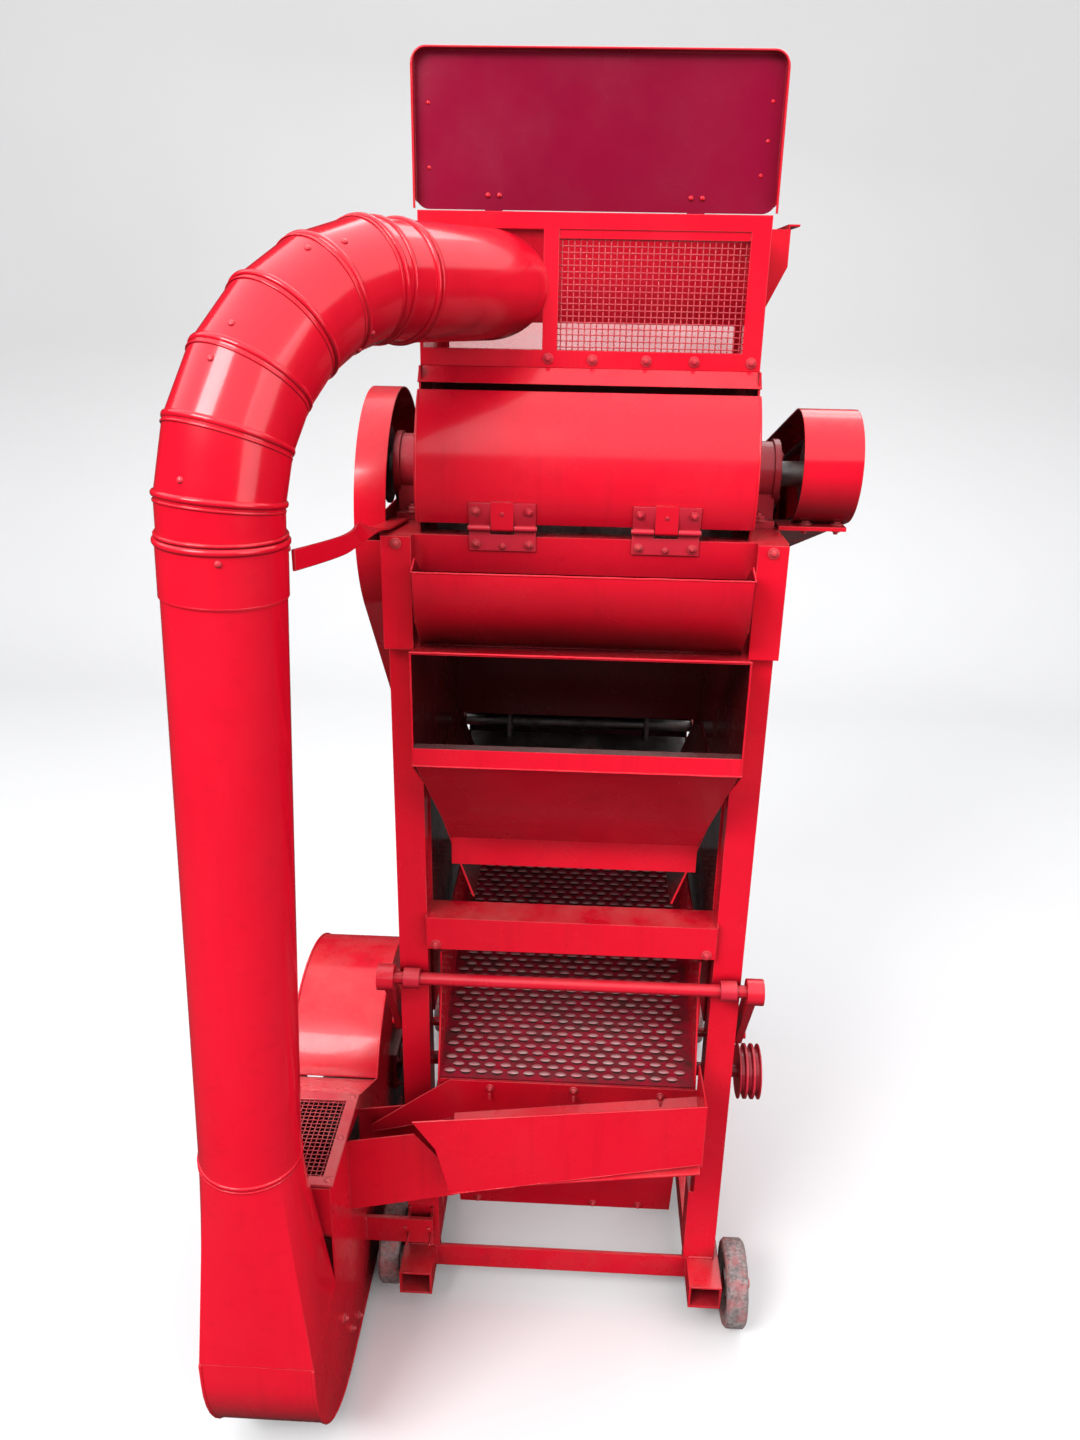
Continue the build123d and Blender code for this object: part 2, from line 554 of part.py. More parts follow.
with BuildPart() as sieve_box:
    for s in (-1, 1):
        a, b = sorted((s * 227.0, s * 230.0))
        side_plate([(SIEVE_FRONT, 545), (SIEVE_FRONT, 575), (12, 730), (12, 792), (60, 798), (SIEVE_BACK, 800), (SIEVE_BACK, deck_z(SIEVE_BACK) - 25)], a, b)
        a2, b2 = sorted((s * 230.0, s * 330.0))
        rod(PIN_Y, PIN_Z, PIN_R, a2, b2)
        a3, b3 = sorted((s * 230.0, s * 236.0))
        rod(PIN_Y, PIN_Z, 18, a3, b3)
    for y in (-46.0, 545.0):
        block(-227, 227, y, y + 3, deck_z(y) - 26, deck_z(y) - 4)
finish(sieve_box, "sieve_box")

with BuildPart() as sieve_deck:
    side_plate([(-46, deck_z(-46) - 3), (-46, deck_z(-46)), (556, deck_z(556)), (556, deck_z(556) - 3)], -227, 227)
finish(sieve_deck, "sieve_deck")

with BuildPart() as discharge_chute:
    # back plate under the sieve lip, running out to the left
    front_plate([(-353, 456), (-207, 566), (232, 566), (232, 540), (-200, 482), (-353, 441)], -51, -48.5)
    # front sheet
    front_plate([(-257, 572), (235, 631), (232, 511), (-195, 420), (-219, 517)], -170, -167.5)
    # right end
    side_plate([(-170, 631), (-170, 505), (-48.5, 556), (-48.5, 620)], 232, 234.5)
    # sloping floor between the two sheets
    fl = lambda x, y: 520 + 0.14 * x + 0.55 * (y + 52)
    with BuildSketch(SIDE.offset(-200)) as s1:
        with BuildLine():
            Polyline((-167.5, fl(-200, -167.5)), (-51, fl(-200, -51)), (-51, fl(-200, -51) - 3), (-167.5, fl(-200, -167.5) - 3), close=True)
        make_face()
    with BuildSketch(SIDE.offset(232)) as s2:
        with BuildLine():
            Polyline((-167.5, fl(232, -167.5)), (-51, fl(232, -51)), (-51, fl(232, -51) - 3), (-167.5, fl(232, -167.5) - 3), close=True)
        make_face()
    loft([s1.sketch, s2.sketch])
finish(discharge_chute, "discharge_chute")

with BuildPart() as return_trough:
    front_plate([(-380, 488), (-262, 511), (-207, 445), (-192, 382), (-380, 337)], -130, -127.5)
    front_plate([(-380, 470), (-192, 500), (-192, 382), (-380, 337)], -27.5, -25)
    with BuildSketch(FRONT.offset(25)) as sk:
        with BuildLine():
            Polyline((-380, 337), (-192, 382), (-192, 379.5), (-380, 334.5), close=True)
        make_face()
    extrude(sk.sketch, amount=105)
finish(return_trough, "return_trough")

with BuildPart() as rocker_shaft:
    rod(ROCK_Y, ROCK_Z, ROCK_R, -338, 338)
    for s in (-1, 1):
        a, b = sorted((s * 307.0, s * 336.0))
        rod(ROCK_Y, ROCK_Z, 23, a, b)
        a2, b2 = sorted((s * 309.0, s * 322.0))
        extrude(belt_face(a2, ROCK_Y, ROCK_Z, 22, PIN_Y, PIN_Z, 17), amount=b2 - a2)
        rod(PIN_Y, PIN_Z, PIN_R + 0.5, a2 - 1, b2 + 1, Mode.SUBTRACT)
finish(rocker_shaft, "rocker_shaft")

with BuildPart() as shaft_bearings:
    for s in (-1, 1):
        a, b = sorted((s * 262.0, s * 290.0))
        rod(ROCK_Y, ROCK_Z, 18, a, b)
        rod(ROCK_Y, ROCK_Z, ROCK_R + 0.05, a - 1, b + 1, Mode.SUBTRACT)
        block(a, b, LEG, 116, ECC_Z - 28, ECC_Z + 28)
        rod(ECC_Y, ECC_Z, ECC_R + 0.05, a - 1, b + 1, Mode.SUBTRACT)
finish(shaft_bearings, "shaft_bearings")

with BuildPart() as eccentric_shaft:
    grooved_pulley(ECC_Y, ECC_Z, 51, 324, 364, 3, ECC_R - 0.1, web=False)
    rod(ECC_Y, ECC_Z, ECC_R, -298, 368)
    for x in (-200.0, 180.0):
        rod(ECC_Y + 5, ECC_Z, 32, x, x + 20)
finish(eccentric_shaft, "eccentric_shaft")

# ---------------------------------------------------------------- lift blower


def blower_profile(x, o):
    """Outline of the lift blower in (y, z), shrunk by o: scroll, lower duct, rounded toe and inlet box."""
    with BuildSketch(SIDE.offset(x)) as sk:
        with BuildLine():
            Line((FAN_Y, 20 + o), (-180, 20 + o))
            ThreePointArc((-180, 20 + o), (-180 - (240 - o) * math.sin(math.radians(45)), 260 - (240 - o) * math.cos(math.radians(45))), (-420 + o, 260))
            Line((-420 + o, 260), (-420 + o, 300))
            Line((-420 + o, 300), (-260 - o, 300))
            Line((-260 - o, 300), (-260 + o, 508))
            Line((-260 + o, 508), (-40 - o, 508))
            p = (FAN_Y - (FAN_R - o) * math.cos(math.radians(28)), FAN_Z + (FAN_R - o) * math.sin(math.radians(28)))
            Line((-40 - o, 508), p)
            ThreePointArc(p, (FAN_Y + (FAN_R - o) * math.cos(math.radians(50)), FAN_Z + (FAN_R - o) * math.sin(math.radians(50))), (FAN_Y, 20 + o))
        make_face()
    return sk.sketch


with BuildPart() as blower_casing:
    extrude(blower_profile(BLOW_OUT, 0.0), amount=BLOW_IN - BLOW_OUT)
    extrude(blower_profile(BLOW_OUT + SHEET, SHEET), amount=BLOW_IN - BLOW_OUT - 2 * SHEET, mode=Mode.SUBTRACT)
    rod(FAN_Y, FAN_Z, 105, BLOW_OUT - 1, BLOW_OUT + 4, Mode.SUBTRACT)
    rod(FAN_Y, FAN_Z, 22, BLOW_IN - 4, BLOW_IN + 1, Mode.SUBTRACT)
    side_plate([(-127, 345), (-127, 486), (-26, 466), (-26, 345)], BLOW_IN - 4, BLOW_IN + 1, Mode.SUBTRACT)
finish(blower_casing, "blower_casing")

with BuildPart() as blower_grille:
    block(BLOW_OUT - 4, BLOW_IN + 4, -257, -36, 508, 514)
    block(BLOW_OUT + 16, BLOW_IN - 16, -238, -56, 508, 514, Mode.SUBTRACT)
    block(BLOW_OUT + 16, BLOW_IN - 16, -238, -56, 510, 511.5)
finish(blower_grille, "blower_grille")

with BuildPart() as blower_bearing:
    block(BLOW_IN, BLOW_IN + 8, FAN_Y - 60, FAN_Y + 60, FAN_Z - 45, FAN_Z + 45)
    rod(FAN_Y, FAN_Z, 28, BLOW_IN + 8, BLOW_IN + 22)
    rod(FAN_Y, FAN_Z, 12.55, BLOW_IN - 1, BLOW_IN + 23, Mode.SUBTRACT)
finish(blower_bearing, "blower_bearing")

with BuildPart() as blower_impeller:
    rod(FAN_Y, FAN_Z, 12.5, -548, -314)
    rod(FAN_Y, FAN_Z, 190, -410, -406)
    rod(FAN_Y, FAN_Z, 34, -450, -406)
    for k in range(6):
        a = math.radians(60 * k)
        with BuildSketch(SIDE.offset(-530)) as sk:
            with Locations(Location((FAN_Y + 125 * math.cos(a), FAN_Z + 125 * math.sin(a)), math.degrees(a))):
                Rectangle(140, 4)
        extrude(sk.sketch, amount=122)
    for k in range(6):
        a = math.radians(60 * k)
        with BuildSketch(SIDE.offset(-450)) as sk:
            with Locations(Location((FAN_Y + 45 * math.cos(a), FAN_Z + 45 * math.sin(a)), math.degrees(a))):
                Rectangle(40, 4)
        extrude(sk.sketch, amount=42)
finish(blower_impeller, "blower_impeller")

with BuildPart() as blower_pulley:
    grooved_pulley(FAN_Y, FAN_Z, 130, -350, -318, 1, 12.5)
finish(blower_pulley, "blower_pulley")

with BuildPart() as blower_struts:
    block(BLOW_IN, -250, -22, -14, 147, 205)
    for x in (-300.0, -256.0):
        block(x, x + 6, -14, 0, 150, 202)
    block(BLOW_IN, -RAIL_OUT, 330, 380, 78, 84)
    block(BLOW_IN, -RAIL_OUT, 374, 380, 84, 116)
finish(blower_struts, "blower_struts")

# ---------------------------------------------------------------- riser, elbow and return pipe

RISER_DIR = Vector(RISER_X_TOP - RISER_X_LOW, 0, RISER_Z_TOP - RISER_Z_LOW).normalized()
RISER_LOW = Vector(SHIFT_X + RISER_X_LOW, SHIFT_Y + PIPE_Y, RISER_Z_LOW)
RISER_TOP = Vector(SHIFT_X + RISER_X_TOP, SHIFT_Y + PIPE_Y, RISER_Z_TOP)

with BuildPart() as pipe_transition:
    with BuildSketch(FLOOR.offset(300)) as t1:
        with Locations(((BLOW_IN + BLOW_OUT) / 2, PIPE_Y)):
            Rectangle(BLOW_IN - BLOW_OUT, 160)
    with BuildSketch(Plane(origin=RISER_LOW, x_dir=(0, 1, 0), z_dir=RISER_DIR)) as t2:
        Circle(PIPE_R)
    loft([t1.sketch, t2.sketch])
    with BuildSketch(FLOOR.offset(300)) as t3:
        with Locations(((BLOW_IN + BLOW_OUT) / 2, PIPE_Y)):
            Rectangle(BLOW_IN - BLOW_OUT - 2 * SHEET, 160 - 2 * SHEET)
    with BuildSketch(Plane(origin=RISER_LOW, x_dir=(0, 1, 0), z_dir=RISER_DIR)) as t4:
        Circle(PIPE_R - PIPE_T)
    loft([t3.sketch, t4.sketch], mode=Mode.SUBTRACT)
finish(pipe_transition, "pipe_transition")

RISER_LEN = (RISER_TOP - RISER_LOW).length
with BuildPart() as riser_pipe:
    with BuildSketch(Plane(origin=RISER_LOW, x_dir=(0, 1, 0), z_dir=RISER_DIR)) as sk:
        Circle(PIPE_R)
        Circle(PIPE_R - PIPE_T, mode=Mode.SUBTRACT)
    extrude(sk.sketch, amount=RISER_LEN)
finish(riser_pipe, "riser_pipe")

with BuildPart() as pipe_sleeve:
    low = RISER_TOP - RISER_DIR * 6
    with BuildSketch(Plane(origin=low, x_dir=(0, 1, 0), z_dir=RISER_DIR)) as sk:
        Circle(PIPE_R + 2.2)
        Circle(PIPE_R + 0.1, mode=Mode.SUBTRACT)
    extrude(sk.sketch, amount=68)
finish(pipe_sleeve, "pipe_sleeve")

HX, HY = math.cos(math.radians(ELBOW_HEADING)), math.sin(math.radians(ELBOW_HEADING))


def elbow_at(angle, r=ELBOW_R):
    """Point of the bend's polygon at an angle from its start, at a radius from the bend's centre."""
    u = ELBOW_R - r * math.cos(angle)
    v = r * math.sin(angle)
    return (SHIFT_X + ELBOW_X + HX * u, SHIFT_Y + PIPE_Y + HY * u, ELBOW_START_Z + v)


step = math.radians(90 / GORES)
corner_r = ELBOW_R / math.cos(step / 2)
route = [tuple(RISER_TOP)]
for k in range(GORES):
    route.append(elbow_at(step * (k + 0.5), corner_r))
end = elbow_at(math.radians(90))
route.append((end[0] + HX * 270, end[1] + HY * 270, end[2]))

with BuildPart() as pipe_elbow:
    with BuildLine() as path:
        Polyline(*route)
    with BuildSketch(Plane(origin=route[0], x_dir=(0, 1, 0), z_dir=RISER_DIR)) as sk:
        Circle(PIPE_R)
        Circle(PIPE_R - PIPE_T, mode=Mode.SUBTRACT)
    sweep(sk.sketch, path=path.line, transition=Transition.RIGHT)
    block(-400, 100, BOX_FRONT, BOX_FRONT + 200, 1700, 2050, Mode.SUBTRACT)
finish(pipe_elbow, "pipe_elbow")

with BuildPart() as pipe_strap:
    a = Vector(SHIFT_X - 358.5, SHIFT_Y - 311, 1565)
    b = Vector(SHIFT_X - 292, SHIFT_Y + 85, 1550.3)
    d = b - a
    with BuildSketch(Plane(origin=a, x_dir=Vector(0, 0, 1).cross(d), z_dir=d)) as sk:
        Rectangle(5, 26)
    extrude(sk.sketch, amount=d.length)
finish(pipe_strap, "pipe_strap")

# ---------------------------------------------------------------- wheels

with BuildPart() as wheel_axles:
    for name, y in WHEEL_Y.items():
        s = -1 if name.endswith("left") else 1
        a, b = sorted((s * RAIL_OUT, s * 366.0))
        rod(y, WHEEL_R, AXLE_R, a, b)
        a, b = sorted((s * 360.0, s * 366.0))
        rod(y, WHEEL_R, 15, a, b)
        a, b = sorted((s * RAIL_OUT, s * 313.0))
        rod(y, WHEEL_R + 8, 20, a, b)
finish(wheel_axles, "wheel_axles")

WHEELS = {}
for name, y in WHEEL_Y.items():
    s = -1 if name.endswith("left") else 1
    with BuildPart() as wheel:
        with BuildSketch(Plane(origin=(SHIFT_X, SHIFT_Y + y, WHEEL_R), x_dir=(1, 0, 0), z_dir=(0, -1, 0))) as sk:
            with BuildLine():
                Polyline(
                    (s * (WHEEL_IN + 2), AXLE_R + 0.05), (s * (WHEEL_OUT - 2), AXLE_R + 0.05), (s * (WHEEL_OUT - 2), 24),
                    (s * (WHEEL_OUT - 14), 26), (s * (WHEEL_OUT - 14), 56), (s * WHEEL_OUT, 60), (s * WHEEL_OUT, WHEEL_R - 5),
                    (s * (WHEEL_OUT - 5), WHEEL_R), (s * (WHEEL_IN + 5), WHEEL_R), (s * WHEEL_IN, WHEEL_R - 5),
                    (s * WHEEL_IN, 60), (s * (WHEEL_IN + 14), 56), (s * (WHEEL_IN + 14), 26), (s * (WHEEL_IN + 2), 24),
                    close=True,
                )
            make_face()
        revolve(sk.sketch, axis=Axis((SHIFT_X, SHIFT_Y + y, WHEEL_R), (1, 0, 0)))
    finish(wheel, "wheel_" + name)
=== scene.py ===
import bpy
import json
import math
import random
from mathutils import Matrix, Vector


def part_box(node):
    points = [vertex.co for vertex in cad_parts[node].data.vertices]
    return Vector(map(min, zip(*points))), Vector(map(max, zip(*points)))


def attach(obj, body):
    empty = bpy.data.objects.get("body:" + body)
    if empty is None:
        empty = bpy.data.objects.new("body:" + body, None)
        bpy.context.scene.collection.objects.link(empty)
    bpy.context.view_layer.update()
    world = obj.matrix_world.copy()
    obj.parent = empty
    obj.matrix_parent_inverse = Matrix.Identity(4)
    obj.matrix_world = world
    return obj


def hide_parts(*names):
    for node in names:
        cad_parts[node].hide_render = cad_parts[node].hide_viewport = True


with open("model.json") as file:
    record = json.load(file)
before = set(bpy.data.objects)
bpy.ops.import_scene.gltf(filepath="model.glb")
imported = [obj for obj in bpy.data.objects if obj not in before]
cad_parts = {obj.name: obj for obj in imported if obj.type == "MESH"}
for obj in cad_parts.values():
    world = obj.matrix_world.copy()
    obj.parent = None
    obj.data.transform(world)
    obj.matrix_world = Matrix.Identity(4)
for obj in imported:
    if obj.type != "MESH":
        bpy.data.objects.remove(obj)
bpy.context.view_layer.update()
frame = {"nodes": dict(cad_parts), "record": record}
rng = random.Random(7)

# the layout's own origin (midway between the front legs) in the row frame
SX, SY = 0.073, -0.2575


def P(x, y, z):
    """A point given in the layout's millimetres, in the row frame, in metres."""
    return Vector((x / 1000 + SX, y / 1000 + SY, z / 1000))


# ------------------------------------------------------------------ materials


class Nodes:
    """Small helper round one material's node tree."""

    def __init__(self, name):
        self.mat = bpy.data.materials.new(name)
        self.mat.use_nodes = True
        self.t = self.mat.node_tree
        self.t.nodes.clear()
        self.out = self.add("ShaderNodeOutputMaterial")
        self.bsdf = self.add("ShaderNodeBsdfPrincipled")
        self.link(self.bsdf.outputs[0], self.out.inputs[0])
        self.tc = self.add("ShaderNodeTexCoord")
        self.geo = self.add("ShaderNodeNewGeometry")

    def add(self, kind, **kw):
        n = self.t.nodes.new(kind)
        for k, v in kw.items():
            setattr(n, k, v)
        return n

    def link(self, a, b):
        self.t.links.new(a, b)

    def set(self, name, value):
        self.bsdf.inputs[name].default_value = value

    def noise(self, scale, detail=3.0, rough=0.5, stretch=None, seed=0.0):
        m = self.add("ShaderNodeMapping")
        self.link(self.tc.outputs["Object"], m.inputs["Vector"])
        m.inputs["Location"].default_value = (seed * 3.1, seed * 1.7, seed * 2.3)
        if stretch:
            m.inputs["Scale"].default_value = stretch
        n = self.add("ShaderNodeTexNoise")
        n.inputs["Scale"].default_value = scale
        n.inputs["Detail"].default_value = detail
        n.inputs["Roughness"].default_value = rough
        self.link(m.outputs[0], n.inputs["Vector"])
        return n.outputs["Fac"]

    def ramp(self, value, lo, hi, a=0.0, b=1.0):
        m = self.add("ShaderNodeMapRange")
        m.clamp = True
        m.inputs["From Min"].default_value = lo
        m.inputs["From Max"].default_value = hi
        m.inputs["To Min"].default_value = a
        m.inputs["To Max"].default_value = b
        self.link(value, m.inputs["Value"])
        return m.outputs["Result"]

    def math(self, op, a, b=None, clamp=False):
        m = self.add("ShaderNodeMath", operation=op)
        m.use_clamp = clamp
        for i, v in enumerate((a, b)):
            if v is None:
                continue
            if isinstance(v, (int, float)):
                m.inputs[i].default_value = v
            else:
                self.link(v, m.inputs[i])
        return m.outputs[0]

    def mix(self, fac, a, b):
        m = self.add("ShaderNodeMix", data_type="RGBA")
        for sock, v in ((m.inputs[0], fac), (m.inputs[6], a), (m.inputs[7], b)):
            if isinstance(v, (int, float)):
                sock.default_value = v
            elif isinstance(v, (tuple, list)):
                sock.default_value = (*v[:3], 1.0)
            else:
                self.link(v, sock)
        return m.outputs[2]

    def bump(self, parts, base=None):
        """parts: list of (height, strength, distance)."""
        normal = base
        for h, s, d in parts:
            b = self.add("ShaderNodeBump")
            b.inputs["Strength"].default_value = s
            b.inputs["Distance"].default_value = d
            self.link(h, b.inputs["Height"])
            if normal is not None:
                self.link(normal, b.inputs["Normal"])
            normal = b.outputs[0]
        self.link(normal, self.bsdf.inputs["Normal"])

    def normal_z(self):
        s = self.add("ShaderNodeSeparateXYZ")
        self.link(self.geo.outputs["Normal"], s.inputs[0])
        return s.outputs[2]

    def height(self):
        s = self.add("ShaderNodeSeparateXYZ")
        self.link(self.tc.outputs["Object"], s.inputs[0])
        return s.outputs[2]


RED = (0.80, 0.0035, 0.022)


def red_paint(name, base=RED, rough=0.24, coat=0.35, dust=0.12, wear_and_edge_sheen=0.5, sheet=0.5, peel=0.05, grime=0.16, runs=0.25, shaded_face_col=None, inward=None):
    """Glossy sprayed enamel on steel: uneven film, orange peel, sheet waviness, dust on ledges, chips along edges;
    painted shade underneath, inside and in corners, and a painted highlight along edges.
    """
    n = Nodes(name)
    dark = (base[0] * 0.62, base[1] * 0.5, base[2] * 0.8)
    lite = (min(1, base[0] * 1.08), base[1] + 0.003, base[2] + 0.006)
    cloud = n.noise(2.6, 4.0, 0.55)
    fine = n.noise(34.0, 3.0, 0.6, seed=2.0)
    streak = n.noise(5.0, 3.0, 0.6, stretch=(7.0, 7.0, 0.35), seed=4.0)
    col = n.mix(n.ramp(cloud, 0.35, 0.68), base, lite)
    col = n.mix(n.ramp(streak, 0.55, 0.75, 0.0, runs), col, dark)
    col = n.mix(n.ramp(fine, 0.30, 0.46, 0.12, 0.0), col, dark)
    if shaded_face_col:
        # painted shade and a bluish painted reflection: faces turned to -Y, which the sheet hides from the light, get a
        # darker, bluer crimson
        side = n.add("ShaderNodeSeparateXYZ")
        n.link(n.tc.outputs["Normal"], side.inputs[0])
        painted_shade_col = n.mix(n.ramp(n.noise(1.7, 3.0, 0.5, seed=21.0), 0.35, 0.7), shaded_face_col, tuple(c * 0.72 for c in shaded_face_col))
        col = n.mix(n.ramp(side.outputs[1], -0.4, -0.6), col, painted_shade_col)
    # painted shade: faces turned downward are darkened to near-black brown in patches
    under = n.math("MULTIPLY", n.ramp(n.normal_z(), -0.05, -0.70), n.ramp(n.noise(4.0, 3.0, 0.6, seed=25.0), 0.2, 0.6, 0.75, 1.0), True)
    col = n.mix(n.math("MULTIPLY", under, 0.80), col, (0.07, 0.004, 0.006))
    if inward:
        # painted shade: sheets facing the middle of the piece are made a mottled near-black brown, as the shade inside
        # it
        off = n.add("ShaderNodeVectorMath", operation="SUBTRACT")
        n.link(n.tc.outputs["Object"], off.inputs[0])
        off.inputs[1].default_value = inward
        face = n.add("ShaderNodeVectorMath", operation="DOT_PRODUCT")
        n.link(off.outputs[0], face.inputs[0])
        n.link(n.tc.outputs["Normal"], face.inputs[1])
        inner_face_shade_col = n.mix(n.ramp(n.noise(5.0, 5.0, 0.65, seed=27.0), 0.3, 0.7), (0.018, 0.003, 0.003), (0.060, 0.006, 0.006))
        col = n.mix(n.ramp(face.outputs["Value"], 0.004, -0.012, 0.0, 0.93), col, inner_face_shade_col)
    # film thinned and chipped along the edges; the pale red of the thinned film is also a painted highlight line
    bev = n.add("ShaderNodeBevel", samples=4)
    bev.inputs["Radius"].default_value = 0.0022
    dot = n.add("ShaderNodeVectorMath", operation="DOT_PRODUCT")
    n.link(bev.outputs[0], dot.inputs[0])
    n.link(n.geo.outputs["Normal"], dot.inputs[1])
    edge = n.ramp(dot.outputs["Value"], 0.995, 0.86)
    chips = n.ramp(n.noise(55.0, 4.0, 0.65, seed=6.0), 0.50, 0.62)
    worn_edge_sheen = n.math("MULTIPLY", n.math("MULTIPLY", edge, n.ramp(n.noise(9.0, 2.0, 0.5, seed=8.0), 0.42, 0.66)), wear_and_edge_sheen, True)
    col = n.mix(worn_edge_sheen, col, (0.86, 0.15, 0.15))
    bare = n.math("MULTIPLY", n.math("MULTIPLY", edge, chips), n.ramp(n.noise(6.0, 2.0, 0.5, seed=9.0), 0.56, 0.66, 0.0, wear_and_edge_sheen), True)
    col = n.mix(bare, col, (0.20, 0.10, 0.08))
    # crop dust on ledges and low down
    up = n.ramp(n.normal_z(), 0.55, 0.98)
    patch = n.ramp(n.noise(11.0, 5.0, 0.65, seed=11.0), 0.38, 0.70)
    d = n.math("MULTIPLY", n.math("MULTIPLY", up, patch), dust, True)
    low = n.math("MULTIPLY", n.ramp(n.height(), 0.30, 0.02, 0.0, 1.0), n.ramp(n.noise(16.0, 5.0, 0.7, seed=12.0), 0.42, 0.72, 0.0, grime), True)
    col = n.mix(d, col, (0.66, 0.36, 0.30))
    col = n.mix(low, col, (0.33, 0.13, 0.10))
    # painted shade: corners and hollows found by ambient occlusion are darkened to near-black brown
    ao = n.add("ShaderNodeAmbientOcclusion", samples=4)
    ao.inputs["Distance"].default_value = 0.32
    cavity_shade = n.math("MULTIPLY", n.ramp(ao.outputs["AO"], 0.62, 0.10), n.ramp(n.noise(8.0, 3.0, 0.6, seed=23.0), 0.25, 0.6, 0.7, 1.0), True)
    col = n.mix(n.math("MULTIPLY", cavity_shade, 0.86), col, (0.075, 0.008, 0.010))
    n.link(col, n.bsdf.inputs["Base Color"])
    r = n.ramp(n.noise(7.0, 4.0, 0.6, seed=13.0), 0.35, 0.7, rough * 0.75, rough * 1.35)
    r = n.math("ADD", r, n.math("MULTIPLY", n.math("ADD", d, n.math("ADD", low, worn_edge_sheen)), 0.45), True)
    n.link(r, n.bsdf.inputs["Roughness"])
    n.set("Metallic", 0.0)
    n.set("IOR", 1.5)
    n.set("Specular IOR Level", 0.36)
    n.set("Coat Weight", coat * 0.7)
    n.set("Coat Roughness", 0.07)
    wave = n.noise(3.2, 2.0, 0.5, seed=15.0)
    orange = n.noise(260.0, 2.0, 0.5, seed=16.0)
    n.bump([(wave, sheet, 0.012), (orange, peel, 0.0012), (n.math("MULTIPLY", bare, -1.0), 0.4, 0.0006)], bev.outputs[0])
    return n.mat


def cast_iron(name, base, tint=None, rough=0.75, grain=0.6, metallic=0.0, scale=1.0):
    """Sand-cast surface with dust and, where given, overspray."""
    n = Nodes(name)
    a = n.noise(18.0 * scale, 5.0, 0.7)
    b = n.noise(120.0 * scale, 4.0, 0.7, seed=3.0)
    col = n.mix(n.ramp(a, 0.3, 0.7), tuple(c * 0.65 for c in base), tuple(min(1, c * 1.25) for c in base))
    col = n.mix(n.ramp(b, 0.42, 0.62), col, tuple(c * 0.45 for c in base))
    if tint:
        col = n.mix(n.ramp(n.noise(26.0 * scale, 5.0, 0.7, seed=5.0), 0.48, 0.66, 0.0, 0.75), col, tint)
    n.link(col, n.bsdf.inputs["Base Color"])
    n.link(n.ramp(b, 0.3, 0.7, rough * 0.8, min(1.0, rough * 1.15)), n.bsdf.inputs["Roughness"])
    n.set("Metallic", metallic)
    n.bump([(a, grain * 0.6, 0.004), (b, grain, 0.0016)])
    return n.mat


def steel(name, base=(0.42, 0.40, 0.38), rough=0.38, rust=0.4):
    n = Nodes(name)
    turned = n.noise(90.0, 3.0, 0.6, stretch=(1.0, 0.05, 0.05))
    spots = n.noise(24.0, 5.0, 0.7, seed=2.0)
    col = n.mix(n.ramp(turned, 0.3, 0.7), tuple(c * 0.8 for c in base), base)
    m = n.ramp(spots, 0.52, 0.68, 0.0, rust)
    col = n.mix(m, col, (0.16, 0.07, 0.04))
    n.link(col, n.bsdf.inputs["Base Color"])
    n.link(n.ramp(spots, 0.4, 0.7, rough, min(1, rough * 1.9)), n.bsdf.inputs["Roughness"])
    n.link(n.ramp(spots, 0.50, 0.68, 0.95, 0.3), n.bsdf.inputs["Metallic"])
    n.bump([(turned, 0.15, 0.0006), (spots, 0.2, 0.0008)])
    return n.mat


def rubber(name):
    n = Nodes(name)
    a = n.noise(60.0, 4.0, 0.6)
    b = n.noise(9.0, 3.0, 0.6, seed=3.0)
    col = n.mix(n.ramp(a, 0.35, 0.65), (0.012, 0.012, 0.013), (0.03, 0.028, 0.027))
    col = n.mix(n.ramp(b, 0.52, 0.72, 0.0, 0.45), col, (0.12, 0.08, 0.065))
    n.link(col, n.bsdf.inputs["Base Color"])
    n.link(n.ramp(b, 0.3, 0.7, 0.55, 0.8), n.bsdf.inputs["Roughness"])
    n.bump([(a, 0.4, 0.0008)])
    return n.mat


def motor_paint(name):
    n = Nodes(name)
    a = n.noise(5.0, 4.0, 0.6)
    b = n.noise(70.0, 4.0, 0.65, seed=3.0)
    col = n.mix(n.ramp(a, 0.3, 0.7), (0.10, 0.13, 0.17), (0.16, 0.19, 0.23))
    up = n.math("MULTIPLY", n.ramp(n.normal_z(), 0.3, 0.95), n.ramp(b, 0.35, 0.6, 0.0, 0.5), True)
    col = n.mix(up, col, (0.36, 0.26, 0.22))
    n.link(col, n.bsdf.inputs["Base Color"])
    n.link(n.ramp(b, 0.3, 0.7, 0.38, 0.6), n.bsdf.inputs["Roughness"])
    n.set("Coat Weight", 0.2)
    n.set("Coat Roughness", 0.2)
    n.bump([(b, 0.25, 0.0008)])
    return n.mat


# near-black colour that paints the shade seen through an opening
def opening_shade_material(name):
    n = Nodes(name)
    a = n.noise(40.0, 4.0, 0.6)
    n.link(n.mix(n.ramp(a, 0.35, 0.65), (0.018, 0.004, 0.004), (0.045, 0.012, 0.010)), n.bsdf.inputs["Base Color"])
    n.set("Roughness", 0.85)
    n.bump([(a, 0.3, 0.001)])
    return n.mat


